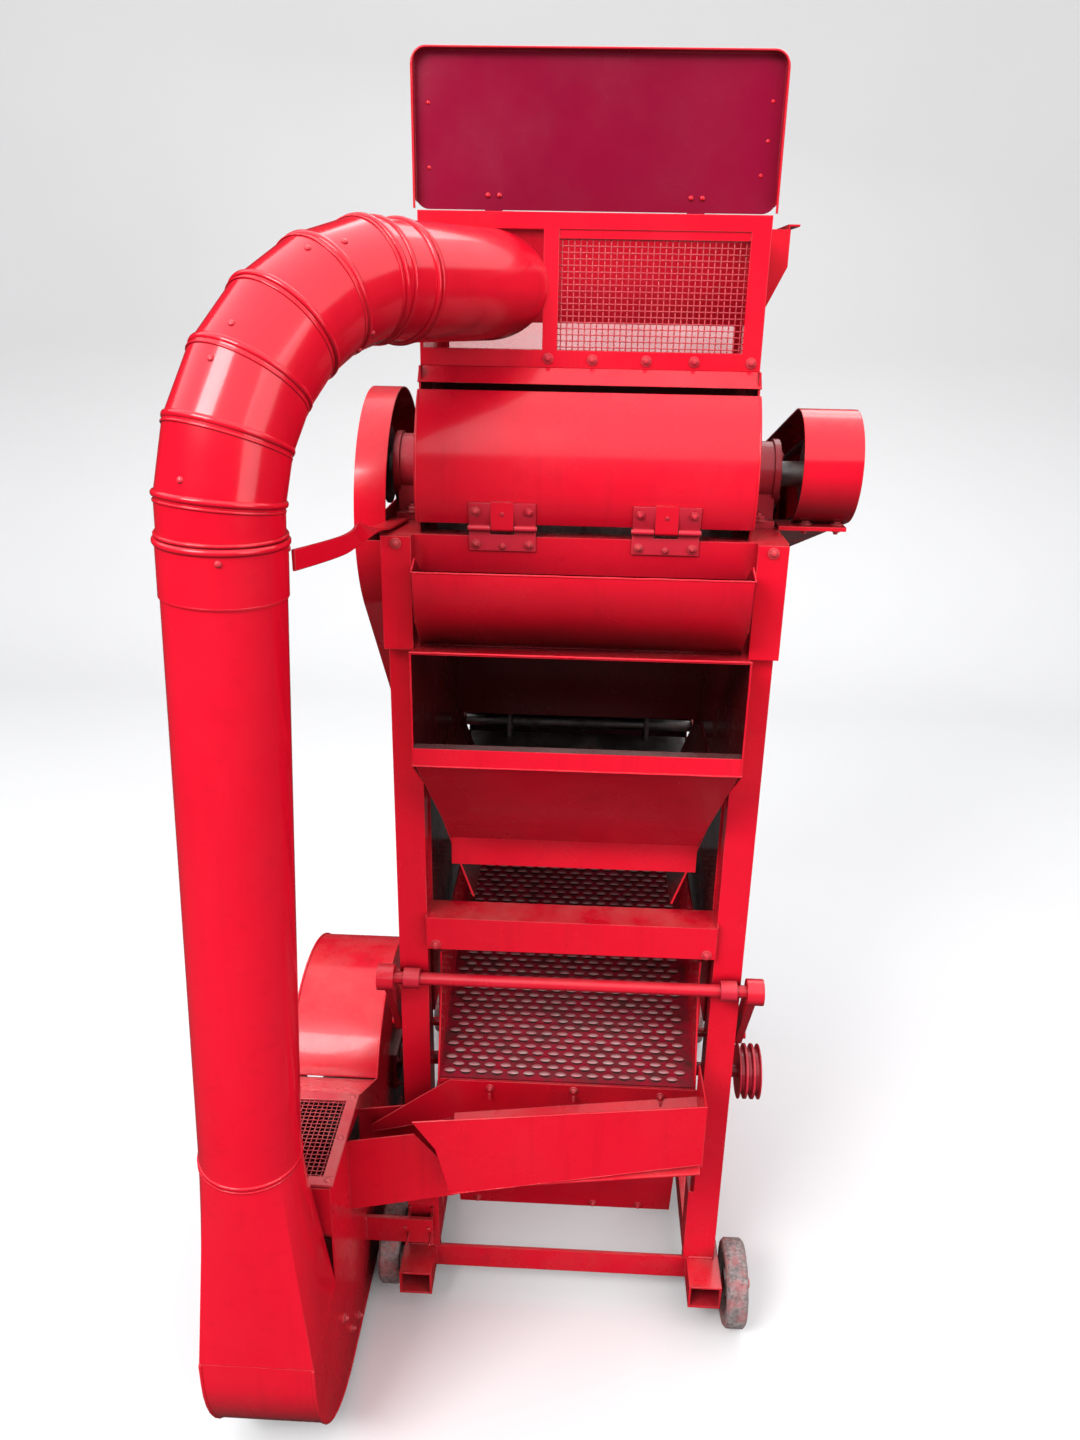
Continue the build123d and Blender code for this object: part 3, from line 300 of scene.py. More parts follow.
def louvre_paint(name):
    """Paint on the pressed deck: the raised lips rubbed pale and lit with a painted highlight, dusty brown in the
    hollows.
    """
    n = Nodes(name)
    at = n.add("ShaderNodeAttribute", attribute_name="lip")
    base = n.mix(n.ramp(n.noise(6.0, 4.0, 0.6), 0.35, 0.7), (0.26, 0.003, 0.018), (0.42, 0.005, 0.030))
    hollow = n.mix(n.ramp(n.noise(30.0, 4.0, 0.6, seed=2.0), 0.4, 0.7), base, (0.10, 0.02, 0.02))
    # the lips' pale pink is rubbed paint and a painted highlight
    lip = n.mix(n.ramp(n.noise(50.0, 4.0, 0.6, seed=4.0), 0.4, 0.65), (0.92, 0.42, 0.44), (0.95, 0.68, 0.66))
    f = n.math("MULTIPLY", at.outputs["Fac"], n.ramp(n.noise(7.0, 3.0, 0.6, seed=6.0), 0.25, 0.55, 0.75, 1.0), True)
    n.link(n.mix(f, hollow, lip), n.bsdf.inputs["Base Color"])
    n.link(n.ramp(n.noise(40.0, 3.0, 0.6, seed=7.0), 0.3, 0.7, 0.30, 0.5), n.bsdf.inputs["Roughness"])
    n.set("Coat Weight", 0.25)
    n.set("Coat Roughness", 0.15)
    n.bump([(n.noise(180.0, 3.0, 0.6, seed=8.0), 0.12, 0.0008)])
    return n.mat


M = {
    "frame_red": red_paint("frame_red", sheet=0.25, wear_and_edge_sheen=0.7, dust=0.22, runs=0.2),
    "panel_red": red_paint("panel_red", sheet=0.55, wear_and_edge_sheen=0.5, dust=0.14),
    # the next sheets get painted shade on their faces turned toward the given centre
    "in_side_panels": red_paint("side_panel_red", inward=(0.073, 0.0, 1.1)),
    "in_back_panel": red_paint("back_panel_red", inward=(0.073, 0.0, 1.1)),
    "in_inner_funnel": red_paint("inner_funnel_red", inward=(0.073, 0.0, 1.1)),
    "in_shell_outlet": red_paint("shell_outlet_red", inward=(0.073, -0.30, 1.27)),
    "in_upper_trough": red_paint("upper_trough_red", inward=(0.073, -0.3025, 1.47)),
    "in_drum_housing": red_paint("drum_housing_red", inward=(0.073, -0.0875, 1.615)),
    "in_winnow_casing": red_paint("winnow_casing_red", inward=(0.073, 0.3825, 0.99)),
    # the lid's -Y face carries painted shade and a bluish painted reflection
    "lid_red": red_paint("lid_red", sheet=0.55, wear_and_edge_sheen=0.5, dust=0.10, shaded_face_col=(0.34, 0.0022, 0.038)),
    "pipe_red": red_paint("pipe_red", sheet=0.35, rough=0.2, coat=0.5, dust=0.05, runs=0.18, wear_and_edge_sheen=0.35),
    "hinge_red": red_paint("hinge_red", base=(0.72, 0.02, 0.045), sheet=0.1, wear_and_edge_sheen=0.9, rough=0.32),
    "bearing_red": red_paint("bearing_red", base=(0.66, 0.015, 0.04), sheet=0.2, wear_and_edge_sheen=0.7, rough=0.38, peel=0.35, dust=0.3),
    "mesh_red": red_paint("mesh_red", base=(0.70, 0.06, 0.08), sheet=0.0, wear_and_edge_sheen=0.8, rough=0.34, dust=0.3),
    "sieve_red": louvre_paint("sieve_red"),
    "pulley_iron": cast_iron("pulley_iron", (0.085, 0.075, 0.07), rough=0.6, metallic=0.3),
    "pulley_red": red_paint("pulley_red", base=(0.62, 0.02, 0.045), sheet=0.1, wear_and_edge_sheen=0.8, rough=0.4, peel=0.3),
    "rotor_steel": steel("rotor_steel", (0.30, 0.28, 0.27), 0.45, 0.7),
    "bright_steel": steel("bright_steel", (0.55, 0.50, 0.47), 0.32, 0.35),
    "shaft_steel": red_paint("shaft_steel", base=(0.72, 0.01, 0.03), sheet=0.05, wear_and_edge_sheen=0.9, rough=0.3),
    "motor_grey": motor_paint("motor_grey"),
    "belt_rubber": rubber("belt_rubber"),
    "wheel_grey": cast_iron("wheel_grey", (0.36, 0.30, 0.29), tint=(0.50, 0.13, 0.14), rough=0.9, grain=0.9),
    "opening_shade_key": opening_shade_material("painted_opening_shade"),
    "weld": red_paint("weld_red", base=(0.68, 0.012, 0.03), sheet=0.0, wear_and_edge_sheen=0.8, rough=0.34, peel=0.5),
    "zinc": red_paint("zinc_red", base=(0.70, 0.03, 0.05), sheet=0.0, wear_and_edge_sheen=1.0, rough=0.36, dust=0.35),
}

slot_of = {s["node"]: s["material_slot"] for s in frame["record"]["subparts"]}
for name, obj in frame["nodes"].items():
    mat = M["lid_red"] if name == "lid" else M.get("in_" + name, M[slot_of.get(name, "panel_red")])
    obj.data.materials.clear()
    obj.data.materials.append(mat)

# ------------------------------------------------------------------ mesh helpers


class Acc:
    """Collects vertices and faces of many small shapes into one mesh."""

    def __init__(self):
        self.v, self.f, self.w = [], [], []

    def add(self, verts, faces, weight=0.0):
        o = len(self.v)
        self.v.extend(verts)
        self.f.extend([tuple(i + o for i in face) for face in faces])
        self.w.extend(weight if isinstance(weight, list) else [weight] * len(verts))

    def make(self, name, mat, body, smooth=35.0, attribute=None):
        me = bpy.data.meshes.new(name)
        me.from_pydata([tuple(p) for p in self.v], [], self.f)
        me.validate()
        me.update()
        if attribute:
            a = me.attributes.new(attribute, "FLOAT", "POINT")
            for i, w in enumerate(self.w):
                a.data[i].value = w
        ob = bpy.data.objects.new(name, me)
        bpy.context.scene.collection.objects.link(ob)
        me.materials.append(mat)
        if smooth:
            me.shade_smooth()
            if hasattr(me, "set_sharp_from_angle"):
                me.set_sharp_from_angle(angle=math.radians(smooth))
        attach(ob, body)
        return ob


def axes(n):
    n = Vector(n).normalized()
    t = Vector((0, 0, 1)) if abs(n.z) < 0.9 else Vector((1, 0, 0))
    u = t.cross(n).normalized()
    return u, n.cross(u), n


def lathe(acc, p, n, profile, sides, spin=0.0, close=True):
    """profile: list of (radius, distance along n); capped where the first or last radius is above zero."""
    u, v, w = axes(n)
    verts, faces = [], []
    for r, h in profile:
        for k in range(sides):
            a = spin + 2 * math.pi * k / sides
            verts.append(p + u * (r * math.cos(a)) + v * (r * math.sin(a)) + w * h)
    for i in range(len(profile) - 1):
        for k in range(sides):
            a, b = i * sides + k, i * sides + (k + 1) % sides
            faces.append((a, b, b + sides, a + sides))
    if close:
        faces.append(tuple(range(sides - 1, -1, -1)))
        e = (len(profile) - 1) * sides
        faces.append(tuple(range(e, e + sides)))
    acc.add(verts, faces)


def bolt(acc, p, n, r=0.0075, h=0.0055, stud=True):
    """Washer, chamfered hex head or nut, and the end of its thread. r is across corners / 2."""
    lathe(acc, p, n, [(r * 1.45, -0.0005), (r * 1.45, 0.0012), (r * 1.35, 0.0017), (r * 0.6, 0.0017)], 20)
    s = rng.uniform(0, 1.0)
    lathe(acc, p, n, [(r * 0.92, 0.0015), (r, 0.0022), (r, h * 0.8), (r * 0.84, h), (r * 0.5, h)], 6, s)
    if stud:
        lathe(acc, p, n, [(r * 0.5, h - 0.0005), (r * 0.5, h + 0.0028), (r * 0.42, h + 0.0036), (r * 0.1, h + 0.0036)], 12)


def screw(acc, p, n, r=0.006):
    lathe(acc, p, n, [(r, -0.0004), (r, 0.0006), (r * 0.85, 0.0018), (r * 0.5, 0.0026), (r * 0.12, 0.0028)], 16)


def sweep(acc, pts, ring, closed=False, ups=None, weight=0.0):
    """Sweeps a ring (list of (a, b) offsets, or function of index) along points."""
    m = len(pts)
    verts, faces = [], []
    up = None
    k = len(ring(0)) if callable(ring) else len(ring)
    for i, p in enumerate(pts):
        a = pts[(i - 1) % m] if (closed or i > 0) else pts[0]
        b = pts[(i + 1) % m] if (closed or i < m - 1) else pts[-1]
        t = (b - a).normalized()
        if ups is not None:
            up = ups[i]
        elif up is None:
            up = Vector((0, 0, 1)) if abs(t.z) < 0.9 else Vector((0, 1, 0))
        s = t.cross(up).normalized()
        up = s.cross(t).normalized()
        r = ring(i) if callable(ring) else ring
        for x, y in r:
            verts.append(p + s * x + up * y)
    n = m if closed else m - 1
    for i in range(n):
        for j in range(k):
            a, b = i * k + j, i * k + (j + 1) % k
            c, d = ((i + 1) % m) * k + (j + 1) % k, ((i + 1) % m) * k + j
            faces.append((a, b, c, d))
    if not closed:
        faces.append(tuple(range(k - 1, -1, -1)))
        faces.append(tuple(range((m - 1) * k, m * k)))
    acc.add(verts, faces, weight)


def circle(r, sides):
    return [(r * math.cos(2 * math.pi * i / sides), r * math.sin(2 * math.pi * i / sides)) for i in range(sides)]


def weld(acc, a, b, r=0.0032):
    """A hand-laid weld bead: overlapping ripples of uneven width."""
    a, b = Vector(a), Vector(b)
    d = (b - a).length
    m = max(6, int(d / 0.0022))
    pts, rad = [], []
    ph = rng.uniform(0, 6)
    for i in range(m + 1):
        t = i / m
        pts.append(a.lerp(b, t) + Vector((rng.uniform(-1, 1), rng.uniform(-1, 1), rng.uniform(-1, 1))) * r * 0.10)
        rad.append(r * (0.82 + 0.22 * abs(math.sin(i * 1.25 + ph)) + rng.uniform(-0.06, 0.08)) * (0.55 if i in (0, m) else 1))
    sweep(acc, pts, lambda i: circle(rad[i], 8))


def ring_bead(acc, c, n, rx, thick=0.003, wide=0.005, sides=72, e2=None, ry=None):
    """A swaged bead round a pipe: an ellipse of radii rx, ry in the plane whose normal is n."""
    u, v, w = axes(n)
    if e2 is not None:
        v = Vector(e2).normalized()
        u = v.cross(w).normalized()
    ry = ry or rx
    pts = [c + u * (rx * math.cos(2 * math.pi * i / sides)) + v * (ry * math.sin(2 * math.pi * i / sides)) for i in range(sides)]
    section = [(wide * 0.5 * math.cos(a), thick * math.sin(a)) for a in [2 * math.pi * i / 10 for i in range(10)]]
    verts, faces = [], []
    for i, p in enumerate(pts):
        out = (p - c).normalized()
        for x, y in section:
            verts.append(p + w * x + out * y)
    k = 10
    for i in range(sides):
        for j in range(k):
            a, b = i * k + j, i * k + (j + 1) % k
            cc, d = ((i + 1) % sides) * k + (j + 1) % k, ((i + 1) % sides) * k + j
            faces.append((a, d, cc, b))
    acc.add(verts, faces)


def slab(acc, o, u, v, w):
    """A box from a corner and three edge vectors, with eased edges."""
    e = 0.12 * min(u.length, v.length, w.length)
    uu, vv, ww = u.normalized() * e, v.normalized() * e, w.normalized() * e
    verts, faces = [], []
    lay = [(ww * 0, 1), (ww, 0), (w - ww, 0), (w, 1)]
    for h, k in lay:
        a, b = uu * k, vv * k
        c = [o + a + b, o + u - a + b, o + u - a + v - b, o + a + v - b]
        verts += [p + h for p in c]
    for i in range(3):
        for j in range(4):
            p, q = i * 4 + j, i * 4 + (j + 1) % 4
            faces.append((p, q, q + 4, p + 4))
    faces.append((3, 2, 1, 0))
    faces.append((12, 13, 14, 15))
    acc.add(verts, faces)


# ------------------------------------------------------------------ camera, floor and light

pitch, yaw, roll = math.radians(21.21), math.radians(-2.20), math.radians(1.07)
F = Vector((math.sin(yaw) * math.cos(pitch), math.cos(yaw) * math.cos(pitch), -math.sin(pitch)))
R0 = Vector((math.cos(yaw), -math.sin(yaw), 0))
U0 = R0.cross(F)
R2 = R0 * math.cos(roll) + U0 * math.sin(roll)
U2 = R0 * -math.sin(roll) + U0 * math.cos(roll)
cam_data = bpy.data.cameras.new("camera")
cam = bpy.data.objects.new("camera", cam_data)
bpy.context.scene.collection.objects.link(cam)
cam_data.sensor_width = 36.0
cam_data.lens = 27.125
cam_data.clip_start = 0.05
cam_data.clip_end = 60
cam.matrix_world = Matrix.Translation(P(1.6, -1619.3, 1870.6)) @ Matrix((R2, U2, -F)).transposed().to_4x4()
bpy.context.scene.camera = cam

floor_me = bpy.data.meshes.new("floor")
fv, ff = [], []
prof = [(-9.0, 0.0), (3.2, 0.0)] + [(3.2 + 1.6 * math.sin(a), 1.6 - 1.6 * math.cos(a)) for a in [math.radians(10 * i) for i in range(1, 10)]] + [(4.8, 7.0)]
for y, z in prof:
    fv += [(-9.0, y, z), (9.0, y, z)]
for i in range(len(prof) - 1):
    ff.append((2 * i, 2 * i + 1, 2 * i + 3, 2 * i + 2))
floor_me.from_pydata(fv, [], ff)
floor_me.shade_smooth()
floor = bpy.data.objects.new("floor", floor_me)
bpy.context.scene.collection.objects.link(floor)
fn = Nodes("studio_floor")
fa = fn.noise(0.8, 3.0, 0.5)
fn.link(fn.mix(fn.ramp(fa, 0.3, 0.7), (0.86, 0.86, 0.86), (0.89, 0.89, 0.89)), fn.bsdf.inputs["Base Color"])
fn.set("Roughness", 0.75)
fn.bump([(fn.noise(180.0, 2.0, 0.5), 0.05, 0.001)])
lp = fn.add("ShaderNodeLightPath")
dim = fn.add("ShaderNodeBsdfDiffuse")
dim.inputs["Color"].default_value = (0.05, 0.045, 0.045, 1)
sw = fn.add("ShaderNodeMixShader")
fn.link(fn.math("MAXIMUM", lp.outputs["Is Glossy Ray"], fn.math("MULTIPLY", lp.outputs["Is Diffuse Ray"], 0.72)), sw.inputs[0])
fn.link(fn.bsdf.outputs[0], sw.inputs[1])
fn.link(dim.outputs[0], sw.inputs[2])
fn.link(sw.outputs[0], fn.out.inputs[0])
floor_me.materials.append(fn.mat)

world = bpy.data.worlds.new("studio")
bpy.context.scene.world = world
world.use_nodes = True
wt = world.node_tree
wt.nodes.clear()
wo = wt.nodes.new("ShaderNodeOutputWorld")
bg = wt.nodes.new("ShaderNodeBackground")
wtc = wt.nodes.new("ShaderNodeTexCoord")
wsep = wt.nodes.new("ShaderNodeSeparateXYZ")
wr = wt.nodes.new("ShaderNodeValToRGB")
wt.links.new(wtc.outputs["Generated"], wsep.inputs[0])
wt.links.new(wsep.outputs[2], wr.inputs[0])
cr = wr.color_ramp
cr.elements[0].position, cr.elements[0].color = 0.0, (0.62, 0.61, 0.61, 1)
cr.elements[1].position, cr.elements[1].color = 1.0, (1.20, 1.22, 1.26, 1)
# in the paint's gloss the room is dark up to a bright ceiling with a hard edge
wg = wt.nodes.new("ShaderNodeValToRGB")
wt.links.new(wsep.outputs[2], wg.inputs[0])
cg = wg.color_ramp
cg.elements[0].position, cg.elements[0].color = 0.0, (0.03, 0.028, 0.028, 1)
cg.elements[1].position, cg.elements[1].color = 1.0, (1.9, 1.92, 1.98, 1)
e = cg.elements.new(0.30)
e.color = (0.05, 0.048, 0.05, 1)
e = cg.elements.new(0.345)
e.color = (1.75, 1.76, 1.80, 1)
wlp = wt.nodes.new("ShaderNodeLightPath")
wm = wt.nodes.new("ShaderNodeMix")
wm.data_type = "RGBA"
wt.links.new(wlp.outputs["Is Glossy Ray"], wm.inputs[0])
wt.links.new(wr.outputs[0], wm.inputs[6])
wt.links.new(wg.outputs[0], wm.inputs[7])
wt.links.new(wm.outputs[2], bg.inputs[0])
bg.inputs[1].default_value = 0.98
wt.links.new(bg.outputs[0], wo.inputs[0])


def area(name, loc, target, size, power, size_y=None):
    d = bpy.data.lights.new(name, "AREA")
    d.size = size
    if size_y:
        d.shape = "RECTANGLE"
        d.size_y = size_y
    d.energy = power
    o = bpy.data.objects.new(name, d)
    bpy.context.scene.collection.objects.link(o)
    o.location = loc
    o.rotation_euler = (Vector(target) - Vector(loc)).to_track_quat("-Z", "Y").to_euler()
    return o


area("key", (-2.2, -3.4, 4.2), (0, 0, 1.0), 2.2, 165, 1.6)
area("fill", (3.4, -2.6, 2.4), (0, 0, 0.9), 2.6, 55)
area("back", (0.5, 3.2, 4.4), (0, 0, 1.2), 2.6, 60)
bpy.context.scene.view_settings.view_transform = "Standard"
bpy.context.scene.view_settings.look = "None"
bpy.context.scene.view_settings.exposure = 0.0

# ------------------------------------------------------------------ wire screens


def wires(acc, origin, du, dv, n, m, r, amp):
    """A woven screen: n wires along dv and m wires along du, passing over and under each other."""
    w = du.cross(dv).normalized()
    for i in range(n):
        pts = []
        for j in range(2 * m - 1):
            s = 1 if (i + j // 2) % 2 == 0 else -1
            k = s if j % 2 == 0 else 0
            pts.append(origin + du * ((i + 0.5) / n) + dv * ((j / 2 + 0.5) / m) + w * (amp * k))
        pts = [origin + du * ((i + 0.5) / n)] + pts + [origin + du * ((i + 0.5) / n) + dv]
        sweep(acc, pts, circle(r, 6))
    for j in range(m):
        pts = []
        for i in range(2 * n - 1):
            s = -1 if (j + i // 2) % 2 == 0 else 1
            k = s if i % 2 == 0 else 0
            pts.append(origin + dv * ((j + 0.5) / m) + du * ((i / 2 + 0.5) / n) + w * (amp * k))
        pts = [origin + dv * ((j + 0.5) / m)] + pts + [origin + dv * ((j + 0.5) / m) + du]
        sweep(acc, pts, circle(r, 6))


lo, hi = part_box("mesh_panel")
acc = Acc()
ym = (lo[1] + hi[1]) / 2
wires(acc, Vector((lo[0], ym, lo[2])), Vector((hi[0] - lo[0], 0, 0)), Vector((0, 0, hi[2] - lo[2])), 31, 19, 0.00095, 0.0009)
screen = acc.make("woven_screen", M["mesh_red"], "frame", smooth=60)
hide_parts("mesh_panel")

acc = Acc()
g0, g1 = P(-566, -257, 508), P(-376, -36, 514)
gi0, gi1 = P(-546, -238, 511), P(-396, -56, 511)
slab(acc, g0, Vector((0.190, 0, 0)), Vector((0, 0.019, 0)), Vector((0, 0, 0.006)))
slab(acc, P(-566, -56, 508), Vector((0.190, 0, 0)), Vector((0, 0.020, 0)), Vector((0, 0, 0.006)))
slab(acc, P(-566, -238, 508), Vector((0.020, 0, 0)), Vector((0, 0.182, 0)), Vector((0, 0, 0.006)))
slab(acc, P(-396, -238, 508), Vector((0.020, 0, 0)), Vector((0, 0.182, 0)), Vector((0, 0, 0.006)))
wires(acc, gi0, Vector((gi1.x - gi0.x, 0, 0)), Vector((0, gi1.y - gi0.y, 0)), 17, 20, 0.0009, 0.0008)
for x in (-556, -386):
    for y in (-247, -150, -46):
        screw(acc, P(x, y, 514), (0, 0, 1), 0.0055)
grille = acc.make("inlet_screen", M["mesh_red"], "frame", smooth=40)
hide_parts("blower_grille")

# ------------------------------------------------------------------ louvred sieve deck

SL = 0.268
al = math.atan(SL)


def deck(x, y, h):
    """Point h above the deck at (x, y) in the layout's millimetres; h in metres, along the deck's normal."""
    z = 568.0 + SL * (y + 50.0)
    return P(x, y, z) + Vector((0, -math.sin(al), math.cos(al))) * h


acc = Acc()
T = 0.0028
verts, faces = [], []
ys = [-46.0, 556.0]
for y in ys:
    for x in (-227.0, 227.0):
        verts += [deck(x, y, 0.0), deck(x, y, -T)]
faces = [(0, 2, 6, 4), (1, 5, 7, 3), (0, 4, 5, 1), (2, 3, 7, 6), (0, 1, 3, 2), (4, 6, 7, 5)]
acc.add(verts, faces, 0.0)
shade_patch_acc = Acc()
NU, NS = 8, 4
row = 0
y = -32.0
while y < 545.0:
    off = 0.0 if row % 2 == 0 else 14.25
    x = -227.0 + 17.0 + off
    while x < 214.0:
        verts, wts = [], []
        hw, L, D, H = 10.6, 9.0, 6.5, 0.0052
        for layer in (0.0, 1.0):
            for s in range(NS + 1):
                t = s / NS
                for k in range(NU + 1):
                    a = math.pi * k / NU
                    u = -math.cos(a)
                    arch = math.sqrt(max(0.0, 1 - u * u))
                    v = L * arch * (1 - t) - D * arch * t
                    h = H * arch ** 0.8 * (t ** 0.75) - layer * 0.0011
                    verts.append(deck(x + hw * u, y + v, h))
                    # lip weight: where the rubbed paint and painted highlight go
                    wts.append(max(0.0, (t - 0.36) / 0.64) * (0.35 + 0.65 * arch) if layer == 0.0 else 0.25)
        fs = []
        n1 = NU + 1
        half = (NS + 1) * n1
        for s in range(NS):
            for k in range(NU):
                a = s * n1 + k
                fs.append((a, a + n1, a + n1 + 1, a + 1))
                fs.append((half + a, half + a + 1, half + a + n1 + 1, half + a + n1))
        for k in range(NU):
            a = NS * n1 + k
            fs.append((a, half + a, half + a + 1, a + 1))
        acc.add(verts, fs, wts)
        # painted shade: dark patches on both faces of the solid deck stand for the shade seen through each louvre's
        # opening
        ring = [deck(x + hw * 0.86 * math.cos(b), y - 2.2 + 5.6 * math.sin(b), 0.00025) for b in [2 * math.pi * q / 12 for q in range(12)]]
        ring2 = [deck(x + hw * 0.86 * math.cos(b), y - 2.2 + 5.6 * math.sin(b), -T - 0.00025) for b in [2 * math.pi * q / 12 for q in range(12)]]
        shade_patch_acc.add(ring + ring2, [tuple(range(12)), tuple(range(23, 11, -1))] + [(q, q + 12, (q + 1) % 12 + 12, (q + 1) % 12) for q in range(12)])
        x += 28.5
    y += 14.2
    row += 1
deck_piece = acc.make("louvred_deck", M["sieve_red"], "sieve", smooth=40, attribute="lip")
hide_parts("sieve_deck")
shade_patch_acc.make("louvre_opening_shade_patches", M["opening_shade_key"], "sieve", smooth=0)

# ------------------------------------------------------------------ return pipe: seams, beads, screws

ER, GORES, EZ, HEAD = 285.0, 6, 1603.0, math.radians(55.2)
lean = (-437.5 + 475.0) / (1532.0 - 655.0)
EX = -437.5 + lean * (EZ + ER * math.tan(math.radians(45 / GORES)) - 1532.0)
hx, hy = math.cos(HEAD), math.sin(HEAD)
RD = Vector((lean, 0, 1)).normalized()


def elbow(angle, r):
    u = ER - r * math.cos(angle)
    v = r * math.sin(angle)
    return P(EX + hx * u, -340.0 + hy * u, EZ + v)


step = math.radians(90 / GORES)
corner_r = ER / math.cos(step / 2)
corners = [elbow(step * (k + 0.5), corner_r) for k in range(GORES)]
low_end = P(-437.5, -340.0, 1532.0)
end = elbow(math.radians(90), ER)
route = [low_end] + corners + [end + Vector((hx, hy, 0)) * 0.27]
side = Vector((-hy, hx, 0))
acc = Acc()
RP = 0.076
for k in range(GORES):
    d1 = (route[k + 1] - route[k]).normalized()
    d2 = (route[k + 2] - route[k + 1]).normalized()
    nrm = (d1 + d2).normalized()
    e2 = side.cross(nrm)
    ca = nrm.dot(d1)
    big = 1.0 if k in (0, 3, 5) else 0.65
    ring_bead(acc, route[k + 1] + nrm * 0.003, nrm, RP, 0.0032 * big, 0.0085, e2=e2, ry=RP / ca)
    ring_bead(acc, route[k + 1] - nrm * 0.0055, nrm, RP, 0.0012, 0.004, e2=e2, ry=RP / ca)
# slip joint under the bend, and the double swage on the return run
dn = Vector((hx, hy, 0))
for t, th, wd in ((0.062, 0.0045, 0.010), (0.070, 0.0022, 0.005), (-0.004, 0.0012, 0.003)):
    ring_bead(acc, low_end + RD * t, RD, RP + 0.0012, th, wd)
for t, th in ((0.018, 0.0032), (0.060, 0.0040), (0.070, 0.0022)):
    ring_bead(acc, route[GORES] + dn * t, dn, RP, th, 0.007)
# seam where the square duct turns round, and the riser's joint
rl = P(-475.0, -340.0, 655.0)
ring_bead(acc, rl + RD * 0.001, RD, RP, 0.0022, 0.006)
ring_bead(acc, rl - RD * 0.006, RD, RP + 0.0008, 0.0012, 0.004)
acc.make("pipe_beads", M["pipe_red"], "frame", smooth=60)

acc = Acc()


def on_pipe(c, d, out):
    """Screw on the pipe's surface nearest the direction out."""
    o = (out - d * out.dot(d)).normalized()
    return c + o * RP, o


for k in range(GORES - 1):
    d = (route[k + 2] - route[k + 1]).normalized()
    c = route[k + 1].lerp(route[k + 2], 0.82 if k % 2 else 0.2)
    for out in (Vector((-0.35, -1.0, 0.1)), Vector((0.8, 0.6, 0.0)), Vector((-1.0, 0.6, 0.3))):
        p, o = on_pipe(c, d, out)
        screw(acc, p, o, 0.0042)
for out in (Vector((0.25, -1, 0)), Vector((1, 0.4, 0)), Vector((-1, 0.5, 0))):
    p, o = on_pipe(low_end + RD * 0.050, RD, out)
    screw(acc, p + o * 0.0022, o, 0.0045)
acc.make("pipe_screws", M["zinc"], "frame", smooth=35)

# lap seam up the back of the riser
acc = Acc()
pts = [rl + RD * t + Vector((0.02, RP - 0.0026, 0)) for t in [0.004 + 0.87 * i / 40 for i in range(41)]]
sweep(acc, pts, [(-0.009, -0.0005), (0.009, -0.0005), (0.009, 0.0012), (0.008, 0.0018), (-0.008, 0.0018), (-0.009, 0.0012)], ups=[Vector((0.2, 1, 0))] * 41)
acc.make("riser_lap_seam", M["pipe_red"], "frame", smooth=30)

# ------------------------------------------------------------------ twisted stay from the pipe to the deck

A = P(-357.2, -312.0, 1564.0)
B = P(-292.0, 92.0, 1540.6)
acc = Acc()
pts, ups = [], []
m = 60
for i in range(m + 1):
    t = i / m
    sag = -0.006 * math.sin(math.pi * t) + 0.010 * math.exp(-((t - 0.62) / 0.12) ** 2)
    pts.append(A.lerp(B, t) + Vector((0, 0, sag)))
    f = min(1.0, max(0.0, (t - 0.48) / 0.26))
    f = f * f * (3 - 2 * f)
    ang = math.radians(88) * (1 - f)
    ups.append(Vector((math.sin(ang), 0, math.cos(ang))))
W2, T2 = 0.0135, 0.0022
sweep(acc, pts, [(-W2, -T2 * 0.6), (-W2 + 0.001, -T2), (W2 - 0.001, -T2), (W2, -T2 * 0.6), (W2, T2 * 0.6), (W2 - 0.001, T2), (-W2 + 0.001, T2), (-W2, T2 * 0.6)], ups=ups)
stay = acc.make("twisted_stay", M["panel_red"], "frame", smooth=40)
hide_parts("pipe_strap")

# ------------------------------------------------------------------ fasteners on the frame

acc = Acc()
FY = (0, -1, 0)
for x, z in ((-61, 1789), (4, 1788), (83, 1788), (153, 1788), (236, 1788)):
    bolt(acc, P(x, 60, z), FY, 0.0055, 0.0045)
for x in (-281, 281):
    bolt(acc, P(x, -22, 1526), FY, 0.006, 0.005)
for s in (-1, 1):
    # bearing foot bolts and housing cap screws
    for y in (118, 222):
        bolt(acc, P(s * 276, y, 1549), (0, 0, 1), 0.010, 0.008)
    for k in range(4):
        a = math.radians(45 + 90 * k)
        bolt(acc, P(s * 306, 170 + 44 * math.cos(a), 1615 + 44 * math.sin(a)), (s, 0, 0), 0.0052, 0.004, stud=False)
    for y in (592, 688):
        bolt(acc, P(s * 262, y - 18 if y < 600 else y + 18, 990), (s, 0, 0), 0.008, 0.006)
# belt guard fixings
for x in (352, 402):
    bolt(acc, P(x, 128, 1537), (0, 0, -1), 0.0075, 0.006)
    bolt(acc, P(x, 128, 1543.5), (0, 0, 1), 0.0075, 0.006, stud=False)
bolt(acc, P(-360, 230, 1350), (-1, 0, 0), 0.0065, 0.005)
bolt(acc, P(-334, 415, 1531), (0, 0, -1), 0.0065, 0.005)
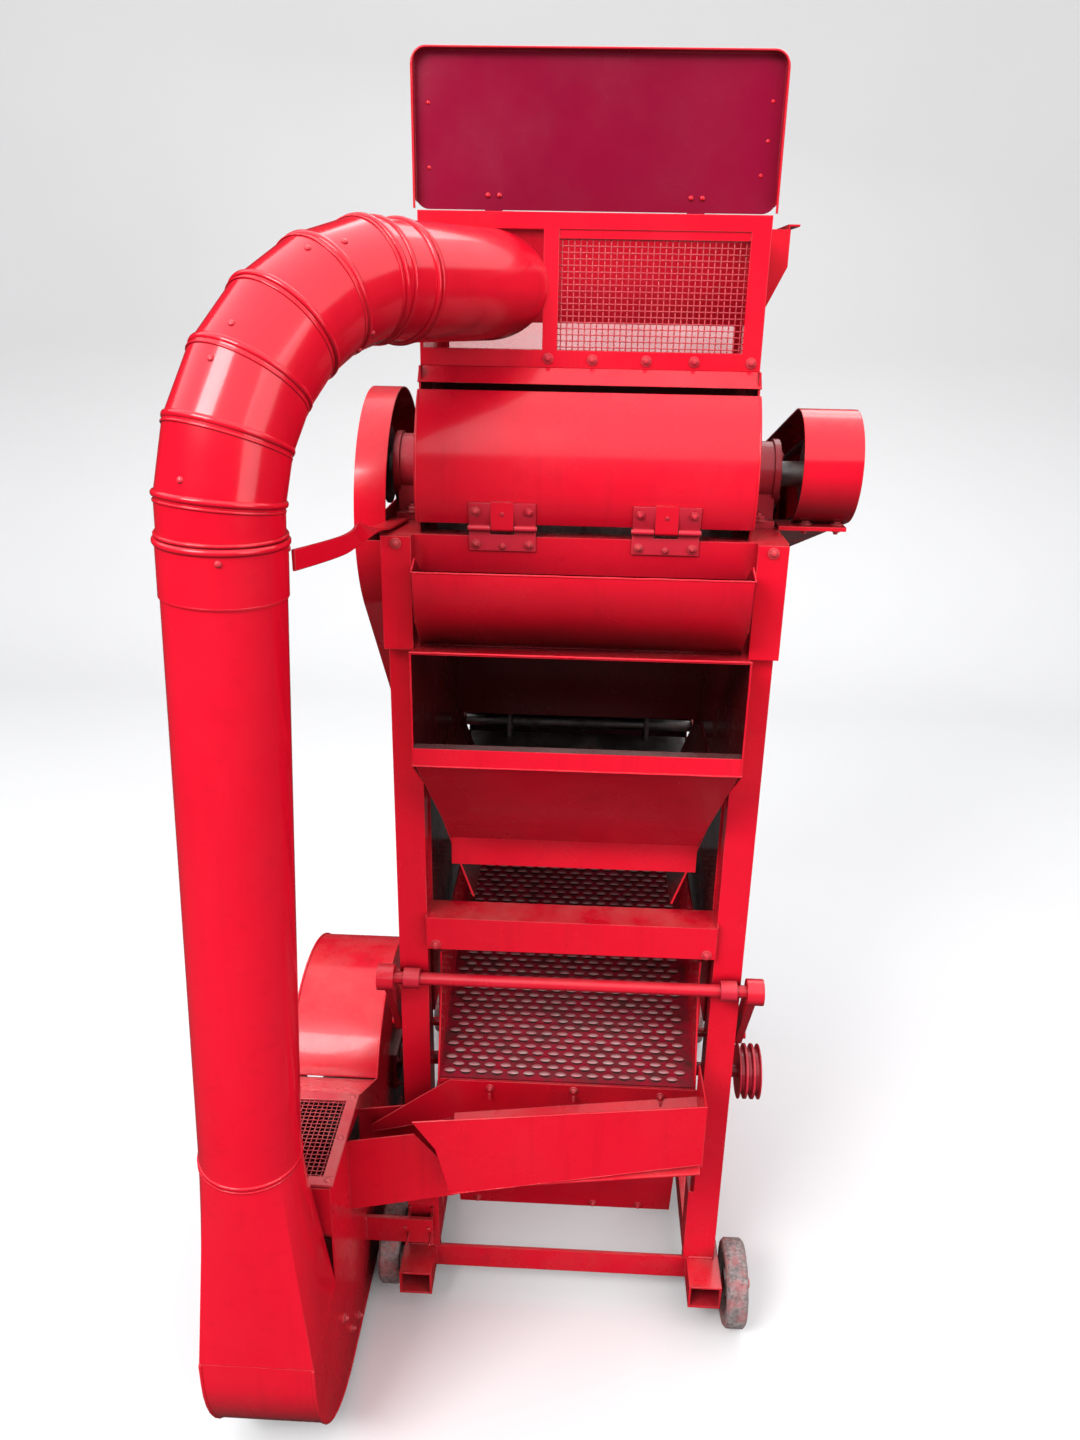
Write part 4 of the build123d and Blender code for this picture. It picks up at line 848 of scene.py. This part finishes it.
# skirt, chute and casing
for x in (-170, 60, 150):
    bolt(acc, P(x, 61.6, 186), (0, -0.9645, -0.264), 0.0055, 0.0045)
for y, z in ((-175, 95), (-225, 180), (-120, 62), (60, 62), (300, 62)):
    bolt(acc, P(-380, y, z), (1, 0, 0), 0.0062, 0.005)
for y, z in ((-175, 95), (-225, 180), (-120, 62), (60, 62), (300, 62), (420, 480), (560, 400), (600, 220)):
    bolt(acc, P(-562, y, z), (-1, 0, 0), 0.0062, 0.005)
for y, z in ((312, 250), (428, 250), (312, 310), (428, 310)):
    bolt(acc, P(-372, y, z), (1, 0, 0), 0.007, 0.0055)
bolt(acc, P(234, -12, 822), FY, 0.0065, 0.005)
bolt(acc, P(-234, -12, 822), FY, 0.0065, 0.005)
# motor feet
for x in (-15, 185):
    for y in (637, 767):
        bolt(acc, P(x, y, 1380), (0, 0, 1), 0.009, 0.007)
# axle ends
for y, s in ((45, -1), (-18, 1), (850, -1), (850, 1)):
    lathe(acc, P(s * 366, y, 80), (s, 0, 0), [(0.0095, -0.0005), (0.0095, 0.003), (0.0075, 0.0045), (0.001, 0.0045)], 20)
# hopper to box
for x in (-200, -100, 0, 100, 200):
    bolt(acc, P(x, 598, 1962), (0, 1, 0), 0.0055, 0.0045)
acc.make("frame_fasteners", M["zinc"], "frame", smooth=32)

# fasteners on the chute that shakes with the sieve
acc = Acc()
for x, z in ((-136, 552), (14, 555), (168, 550)):
    bolt(acc, P(x, -51, z), FY, 0.0052, 0.0045)
    lathe(acc, P(x, -60, z - 6), (0, -0.2, -1), [(0.0024, 0.0), (0.0024, 0.010), (0.001, 0.011)], 10)
for s in (-1, 1):
    for y in (60, 300, 500):
        bolt(acc, P(s * 230, y, 568 + SL * (y + 50) - 12), (s, 0, 0), 0.0062, 0.005)
for z in (612, 520):
    screw(acc, P(234.5, -150, z), (1, 0, 0), 0.005)
acc.make("sieve_fasteners", M["zinc"], "sieve", smooth=32)

# ------------------------------------------------------------------ hinges

acc = Acc()
fr = Acc()
for x in (-122.0, 122.0):
    for dx in (-40, 0, 40):
        bolt(fr, P(x + dx, -5, 1525 if dx else 1522), FY, 0.0050 if dx else 0.0035, 0.0035, stud=bool(dx))
    # pin ends
    for s in (-1, 1):
        lathe(fr, P(x + s * 50, -9, 1550), (s, 0, 0), [(0.003, -0.001), (0.0042, 0.0002), (0.0036, 0.0018), (0.001, 0.0022)], 14)
fr.make("hinge_bolts", M["zinc"], "frame", smooth=32)
# upper leaves, curved to the cover, with their bolts, turn with the cover
R1 = 0.1855
for x in (-122.0, 122.0):
    pts, n = [], 10
    c = P(x, 170, 1615)
    for i in range(n + 1):
        a = math.pi + math.radians(19.5) - math.radians(11.5) * i / n
        pts.append(c + Vector((0, math.cos(a) * (R1 + 0.0012), math.sin(a) * (R1 + 0.0012))))
    verts, faces = [], []
    for i, p in enumerate(pts):
        o = (p - c).normalized()
        for dx, h in ((-0.050, 0.0), (0.050, 0.0), (0.050, 0.0022), (0.049, 0.0028), (-0.049, 0.0028), (-0.050, 0.0022)):
            verts.append(p + Vector((dx, 0, 0)) + o * (h - 0.0008))
    for i in range(n):
        for j in range(6):
            a, b = i * 6 + j, i * 6 + (j + 1) % 6
            faces.append((a, b, b + 6, a + 6))
    faces.append(tuple(range(5, -1, -1)))
    faces.append(tuple(range(n * 6, n * 6 + 6)))
    acc.add(verts, faces)
    for dx, aa in ((-40, 12.0), (40, 12.0), (0, 13.0)):
        a = math.pi + math.radians(aa)
        o = Vector((0, math.cos(a), math.sin(a)))
        bolt(acc, c + Vector((dx / 1000, 0, 0)) + o * (R1 + 0.0026), o, 0.0052 if dx else 0.0035, 0.0038, stud=bool(dx))
acc.make("cover_hinge_leaves", M["hinge_red"], "drum_cover", smooth=32)

# rolled edges of the cover
acc = Acc()
c = P(0, 170, 1615)
for s in (-1, 1):
    pts = []
    for i in range(41):
        a = math.pi + math.radians(18.0) - math.radians(61.0) * i / 40
        pts.append(c + Vector((s * 0.2505, math.cos(a) * (R1 - 0.0005), math.sin(a) * (R1 - 0.0005))))
    sweep(acc, pts, circle(0.0019, 8))
acc.make("cover_rolled_edges", M["panel_red"], "drum_cover", smooth=60)

# ------------------------------------------------------------------ lid: hem, spot welds

acc = Acc()
z0, z1 = 2001.0, 2223.0
hem = [P(-284.6, 261.6, z0)] + [P(-284.6, 261.6, z0 + (z1 - 23 - z0) * i / 6) for i in range(1, 7)]
hem += [P(-262.6 - 22 * math.cos(math.radians(15 * i)), 261.6, z1 - 22.4 + 22 * math.sin(math.radians(15 * i))) for i in range(1, 7)]
hem += [P(-262.6 + 525.2 * i / 12, 261.6, z1 - 0.4) for i in range(1, 12)]
hem += [P(262.6 + 22 * math.sin(math.radians(15 * i)), 261.6, z1 - 22.4 + 22 * math.cos(math.radians(15 * i))) for i in range(0, 7)]
hem += [P(284.6, 261.6, z1 - 23 - (z1 - 23 - z0) * i / 6) for i in range(1, 7)]
sweep(acc, hem, circle(0.0019, 8), ups=[Vector((0, 1, 0))] * len(hem))
for x, z in ((267, 2157), (264, 2103), (257, 2055), (-262, 2150), (-262, 2060)):
    lathe(acc, P(x, 277.0, z), FY, [(0.0035, -0.0004), (0.003, 0.0006), (0.0016, 0.0011), (0.0003, 0.0012)], 12)
for x in (-160.0, 160.0):
    for dx in (-9, 9):
        screw(acc, P(x + dx, 277.0, 2022), FY, 0.0042)
        screw(acc, P(x + dx, 279.0, 2022), (0, 1, 0), 0.0042)
acc.make("lid_hem", M["panel_red"], "lid", smooth=50)

# ------------------------------------------------------------------ welds

acc = Acc()
for s in (-1, 1):
    xo, xi = s * 300, s * 250
    for y0 in (0, 50):
        weld(acc, P(xi, y0, 120.5), P(xo, y0, 120.5))
    for y0 in (470, 520):
        weld(acc, P(xi, y0, 120.5), P(xo, y0, 120.5))
    for yy in (0, 862):
        weld(acc, P(s * 247, yy, 69), P(s * 247, yy, 119), 0.0028)
        weld(acc, P(s * 247, yy, 119.5), P(s * 247, yy + 50, 119.5), 0.0028)
        weld(acc, P(s * 247, yy + 50, 69), P(s * 247, yy + 50, 119), 0.0028)
    weld(acc, P(s * 250, 0.5, 815), P(s * 250, 0.5, 873), 0.003)
    weld(acc, P(s * 250, -11, 875.5), P(s * 250, 30, 875.5), 0.003)
    weld(acc, P(s * 304, -2, 1362), P(s * 304, -2, 1478), 0.0024)
    weld(acc, P(s * 258, -2, 1362), P(s * 304, -2, 1361), 0.0026)
    for y0 in (0, 50, 470, 520):
        weld(acc, P(xi, y0, 1479.5), P(xo, y0, 1479.5), 0.0024)
    weld(acc, P(s * 246.5, -3, 1372), P(s * 246.5, -3, 1470), 0.0022)
    weld(acc, P(s * 249.6, 0.0, 1140), P(s * 249.6, 0.0, 1350), 0.0022)
    for y in (45 if s < 0 else -35, 850):
        lathe(acc, P(s * 313, y, 88), (s, 0, 0), [(0.0115, -0.0005), (0.0125, 0.0012), (0.0112, 0.003), (0.0102, 0.0036)], 24, close=False)
# open ends of the rails: bead round the mouth
for s in (-1, 1):
    for yy in (-70.0, 935.0):
        a, b = sorted((s * 247, s * 309))
        weld(acc, P(a + 6, yy, 120), P(a + 22, yy, 120), 0.0022)
# struts between casing and leg
weld(acc, P(-380, -22, 205), P(-380, -22, 147), 0.0032)
for x in (-300, -256):
    weld(acc, P(x, -52, 215), P(x + 6, -52, 215), 0.0034)
    weld(acc, P(x, -1, 215), P(x + 6, -1, 215), 0.0034)
    weld(acc, P(x + 3, -52, 172), P(x + 3, -4, 172), 0.0026)
# trough to casing
weld(acc, P(-380, -128, 340), P(-380, -128, 484), 0.0024)
acc.make("weld_beads", M["weld"], "frame", smooth=60)

# duct seams on the blower: folded edges along the scroll and the toe
acc = Acc()


def scroll_path():
    pts = []
    a0 = math.radians(152)
    for i in range(61):
        a = a0 - math.radians(152 + 90) * i / 60
        pts.append((370 + 260 * math.cos(a), 280 + 260 * math.sin(a)))
    for i in range(1, 11):
        pts.append((370 - 550 * i / 10, 20.0))
    for i in range(1, 13):
        a = math.radians(90 * i / 12)
        pts.append((-180 - 240 * math.sin(a), 260 - 240 * math.cos(a)))
    pts.append((-420, 298))
    return pts


path = scroll_path()
for x in (-562.0, -380.0):
    s = -1 if x < -400 else 1
    pts = [P(x - s * 1.2, y, max(z, 3.0)) for y, z in path]
    sweep(acc, pts, circle(0.0026, 8), ups=[Vector((1, 0, 0))] * len(pts))
acc.make("casing_folded_seams", M["panel_red"], "frame", smooth=60)

# ------------------------------------------------------------------ lips and hems of the sheet-metal mouths

acc = Acc()


def hem_line(a, b, r=0.0018):
    pts = [a.lerp(b, i / 24) + Vector((rng.uniform(-1, 1), rng.uniform(-1, 1), rng.uniform(-1, 1))) * 0.00025 for i in range(25)]
    sweep(acc, pts, circle(r, 8))


hem_line(P(-246, -96.8, 1500), P(246, -96.8, 1500))
hem_line(P(-249, -120, 1387), P(249, -120, 1387))
hem_line(P(-249, -120, 1207), P(249, -120, 1207))
for s in (-1, 1):
    hem_line(P(s * 247.5, -120, 1207), P(s * 247.5, -120, 1386), 0.0016)
    hem_line(P(s * 247.3, -98, 1500), P(s * 247.3, -60, 1512), 0.0016)
acc.make("mouth_hems", M["panel_red"], "frame", smooth=60)
acc = Acc()
hem_line(P(-257, -169, 572), P(235, -169, 631), 0.0016)
hem_line(P(-195, -169, 420), P(232, -169, 511), 0.0014)
hem_line(P(-353, -50, 456), P(-207, -50, 566), 0.0014)
hem_line(P(-353, -50, 441), P(-200, -50, 482), 0.0014)
acc.make("chute_hems", M["panel_red"], "sieve", smooth=60)

# ------------------------------------------------------------------ belts with cogs, and the motor


def belt_path(y0, z0, r0, y1, z1, r1, n):
    d = math.hypot(y1 - y0, z1 - z0)
    a = math.atan2(z1 - z0, y1 - y0)
    b = math.acos((r0 - r1) / d)
    p = []
    for i in range(n):
        t = a + b - 2 * b * i / (n - 1)
        p.append((y1 + r1 * math.cos(t), z1 + r1 * math.sin(t)))
    for i in range(n):
        t = a - b - (2 * math.pi - 2 * b) * i / (n - 1)
        p.append((y0 + r0 * math.cos(t), z0 + r0 * math.sin(t)))
    return p


def resample(p, gap):
    q = p + [p[0]]
    out, carry = [], 0.0
    for (ya, za), (yb, zb) in zip(q, q[1:]):
        d = math.hypot(yb - ya, zb - za)
        t = carry
        while t < d:
            out.append(((ya + (yb - ya) * t / d, za + (zb - za) * t / d), math.atan2(zb - za, yb - ya)))
            t += gap
        carry = t - d
    return out


def make_belt(name, node, x0, x1, y0, z0, r0, y1, z1, r1):
    acc = Acc()
    body = resample(belt_path(y0, z0, r0 - 1.5, y1, z1, r1 - 1.5, 32), 6.0)
    pts = [P((x0 + x1) / 2, y, z) for (y, z), _ in body]
    w = (x1 - x0) / 2000
    sweep(acc, pts, [(-w, 0.0014), (-w * 0.85, -0.003), (w * 0.85, -0.003), (w, 0.0014)], closed=True, ups=[Vector((0, math.sin(a), -math.cos(a))) for _, a in body])
    for (y, z), a in resample(belt_path(y0, z0, r0 - 4.6, y1, z1, r1 - 4.6, 32), 7.0):
        t = Vector((0, math.cos(a), math.sin(a)))
        o = Vector((0, math.sin(a), -math.cos(a)))
        c = P((x0 + x1) / 2, y, z)
        slab(acc, c - Vector((w * 0.8, 0, 0)) - t * 0.0018 - o * 0.0014, Vector((w * 1.6, 0, 0)), t * 0.0036, o * 0.0030)
    ob = acc.make(name, M["belt_rubber"], "frame", smooth=30)
    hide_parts(node)


make_belt("cogged_drive_belt", "drive_belt", 357.5, 366.5, 170, 1615, 64.5, 702, 1468, 56.5)
make_belt("cogged_fan_belt", "fan_belt", -336.5, -327.5, 170, 1615, 68.5, 640, 990, 68.5)

acc = Acc()
mc = P(0, 702, 1468)
ax = Vector((1, 0, 0))
lathe(acc, P(-45, 702, 1468), ax, [(0.074, 0.0), (0.082, 0.001), (0.082, 0.259), (0.074, 0.26)], 64)
for k in range(40):
    a = 2 * math.pi * k / 40
    if abs(math.cos(a)) > -1:
        o = Vector((0, math.cos(a), math.sin(a)))
        if o.z > 0.86 or o.z < -0.80:
            continue
        t = Vector((0, -math.sin(a), math.cos(a)))
        slab(acc, P(-38, 702, 1468) + o * 0.080 - t * 0.0012, ax * 0.246, t * 0.0024, o * 0.0118)
# end bells and fan cowl
lathe(acc, P(215, 702, 1468), ax, [(0.078, -0.002), (0.086, 0.000), (0.086, 0.010), (0.076, 0.018), (0.040, 0.024), (0.034, 0.025), (0.030, 0.025), (0.0145, 0.025)], 64)
lathe(acc, P(-75, 702, 1468), ax, [(0.020, 0.002), (0.050, 0.000), (0.078, 0.002), (0.086, 0.008), (0.0865, 0.034), (0.082, 0.036)], 64)
for k in range(5):
    r = 0.022 + 0.0105 * k
    ring_bead(acc, P(-75.3, 702, 1468), ax, r, 0.0012, 0.003, sides=48)
slab(acc, P(20, 652, 1528), Vector((0.110, 0, 0)), Vector((0, 0.100, 0)), Vector((0, 0, 0.050)))
slab(acc, P(16, 648, 1578), Vector((0.118, 0, 0)), Vector((0, 0.108, 0)), Vector((0, 0, 0.014)))
for x in (26, 124):
    for y in (657, 747):
        screw(acc, P(x, y, 1592), (0, 0, 1), 0.004)
lathe(acc, P(20, 702, 1552), (-1, 0, 0), [(0.012, -0.001), (0.012, 0.008), (0.0095, 0.010), (0.0095, 0.022), (0.006, 0.024)], 6)
for y in (622, 742):
    slab(acc, P(-45, y, 1367), Vector((0.260, 0, 0)), Vector((0, 0.040, 0)), Vector((0, 0, 0.013)))
slab(acc, P(-30, 652, 1379), Vector((0.230, 0, 0)), Vector((0, 0.100, 0)), Vector((0, 0, 0.022)))
slab(acc, P(-30, 655, 1367.2), Vector((0.010, 0, 0)), Vector((0, 0.094, 0)), Vector((0, 0, 0.013)))
slab(acc, P(190, 655, 1367.2), Vector((0.010, 0, 0)), Vector((0, 0.094, 0)), Vector((0, 0, 0.013)))
mo = acc.make("finned_motor", M["motor_grey"], "frame", smooth=30)
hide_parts("motor")

# ------------------------------------------------------------------ painted pulley on the eccentric shaft

frame["nodes"]["eccentric_shaft"].data.materials.clear()
frame["nodes"]["eccentric_shaft"].data.materials.append(M["pulley_red"])
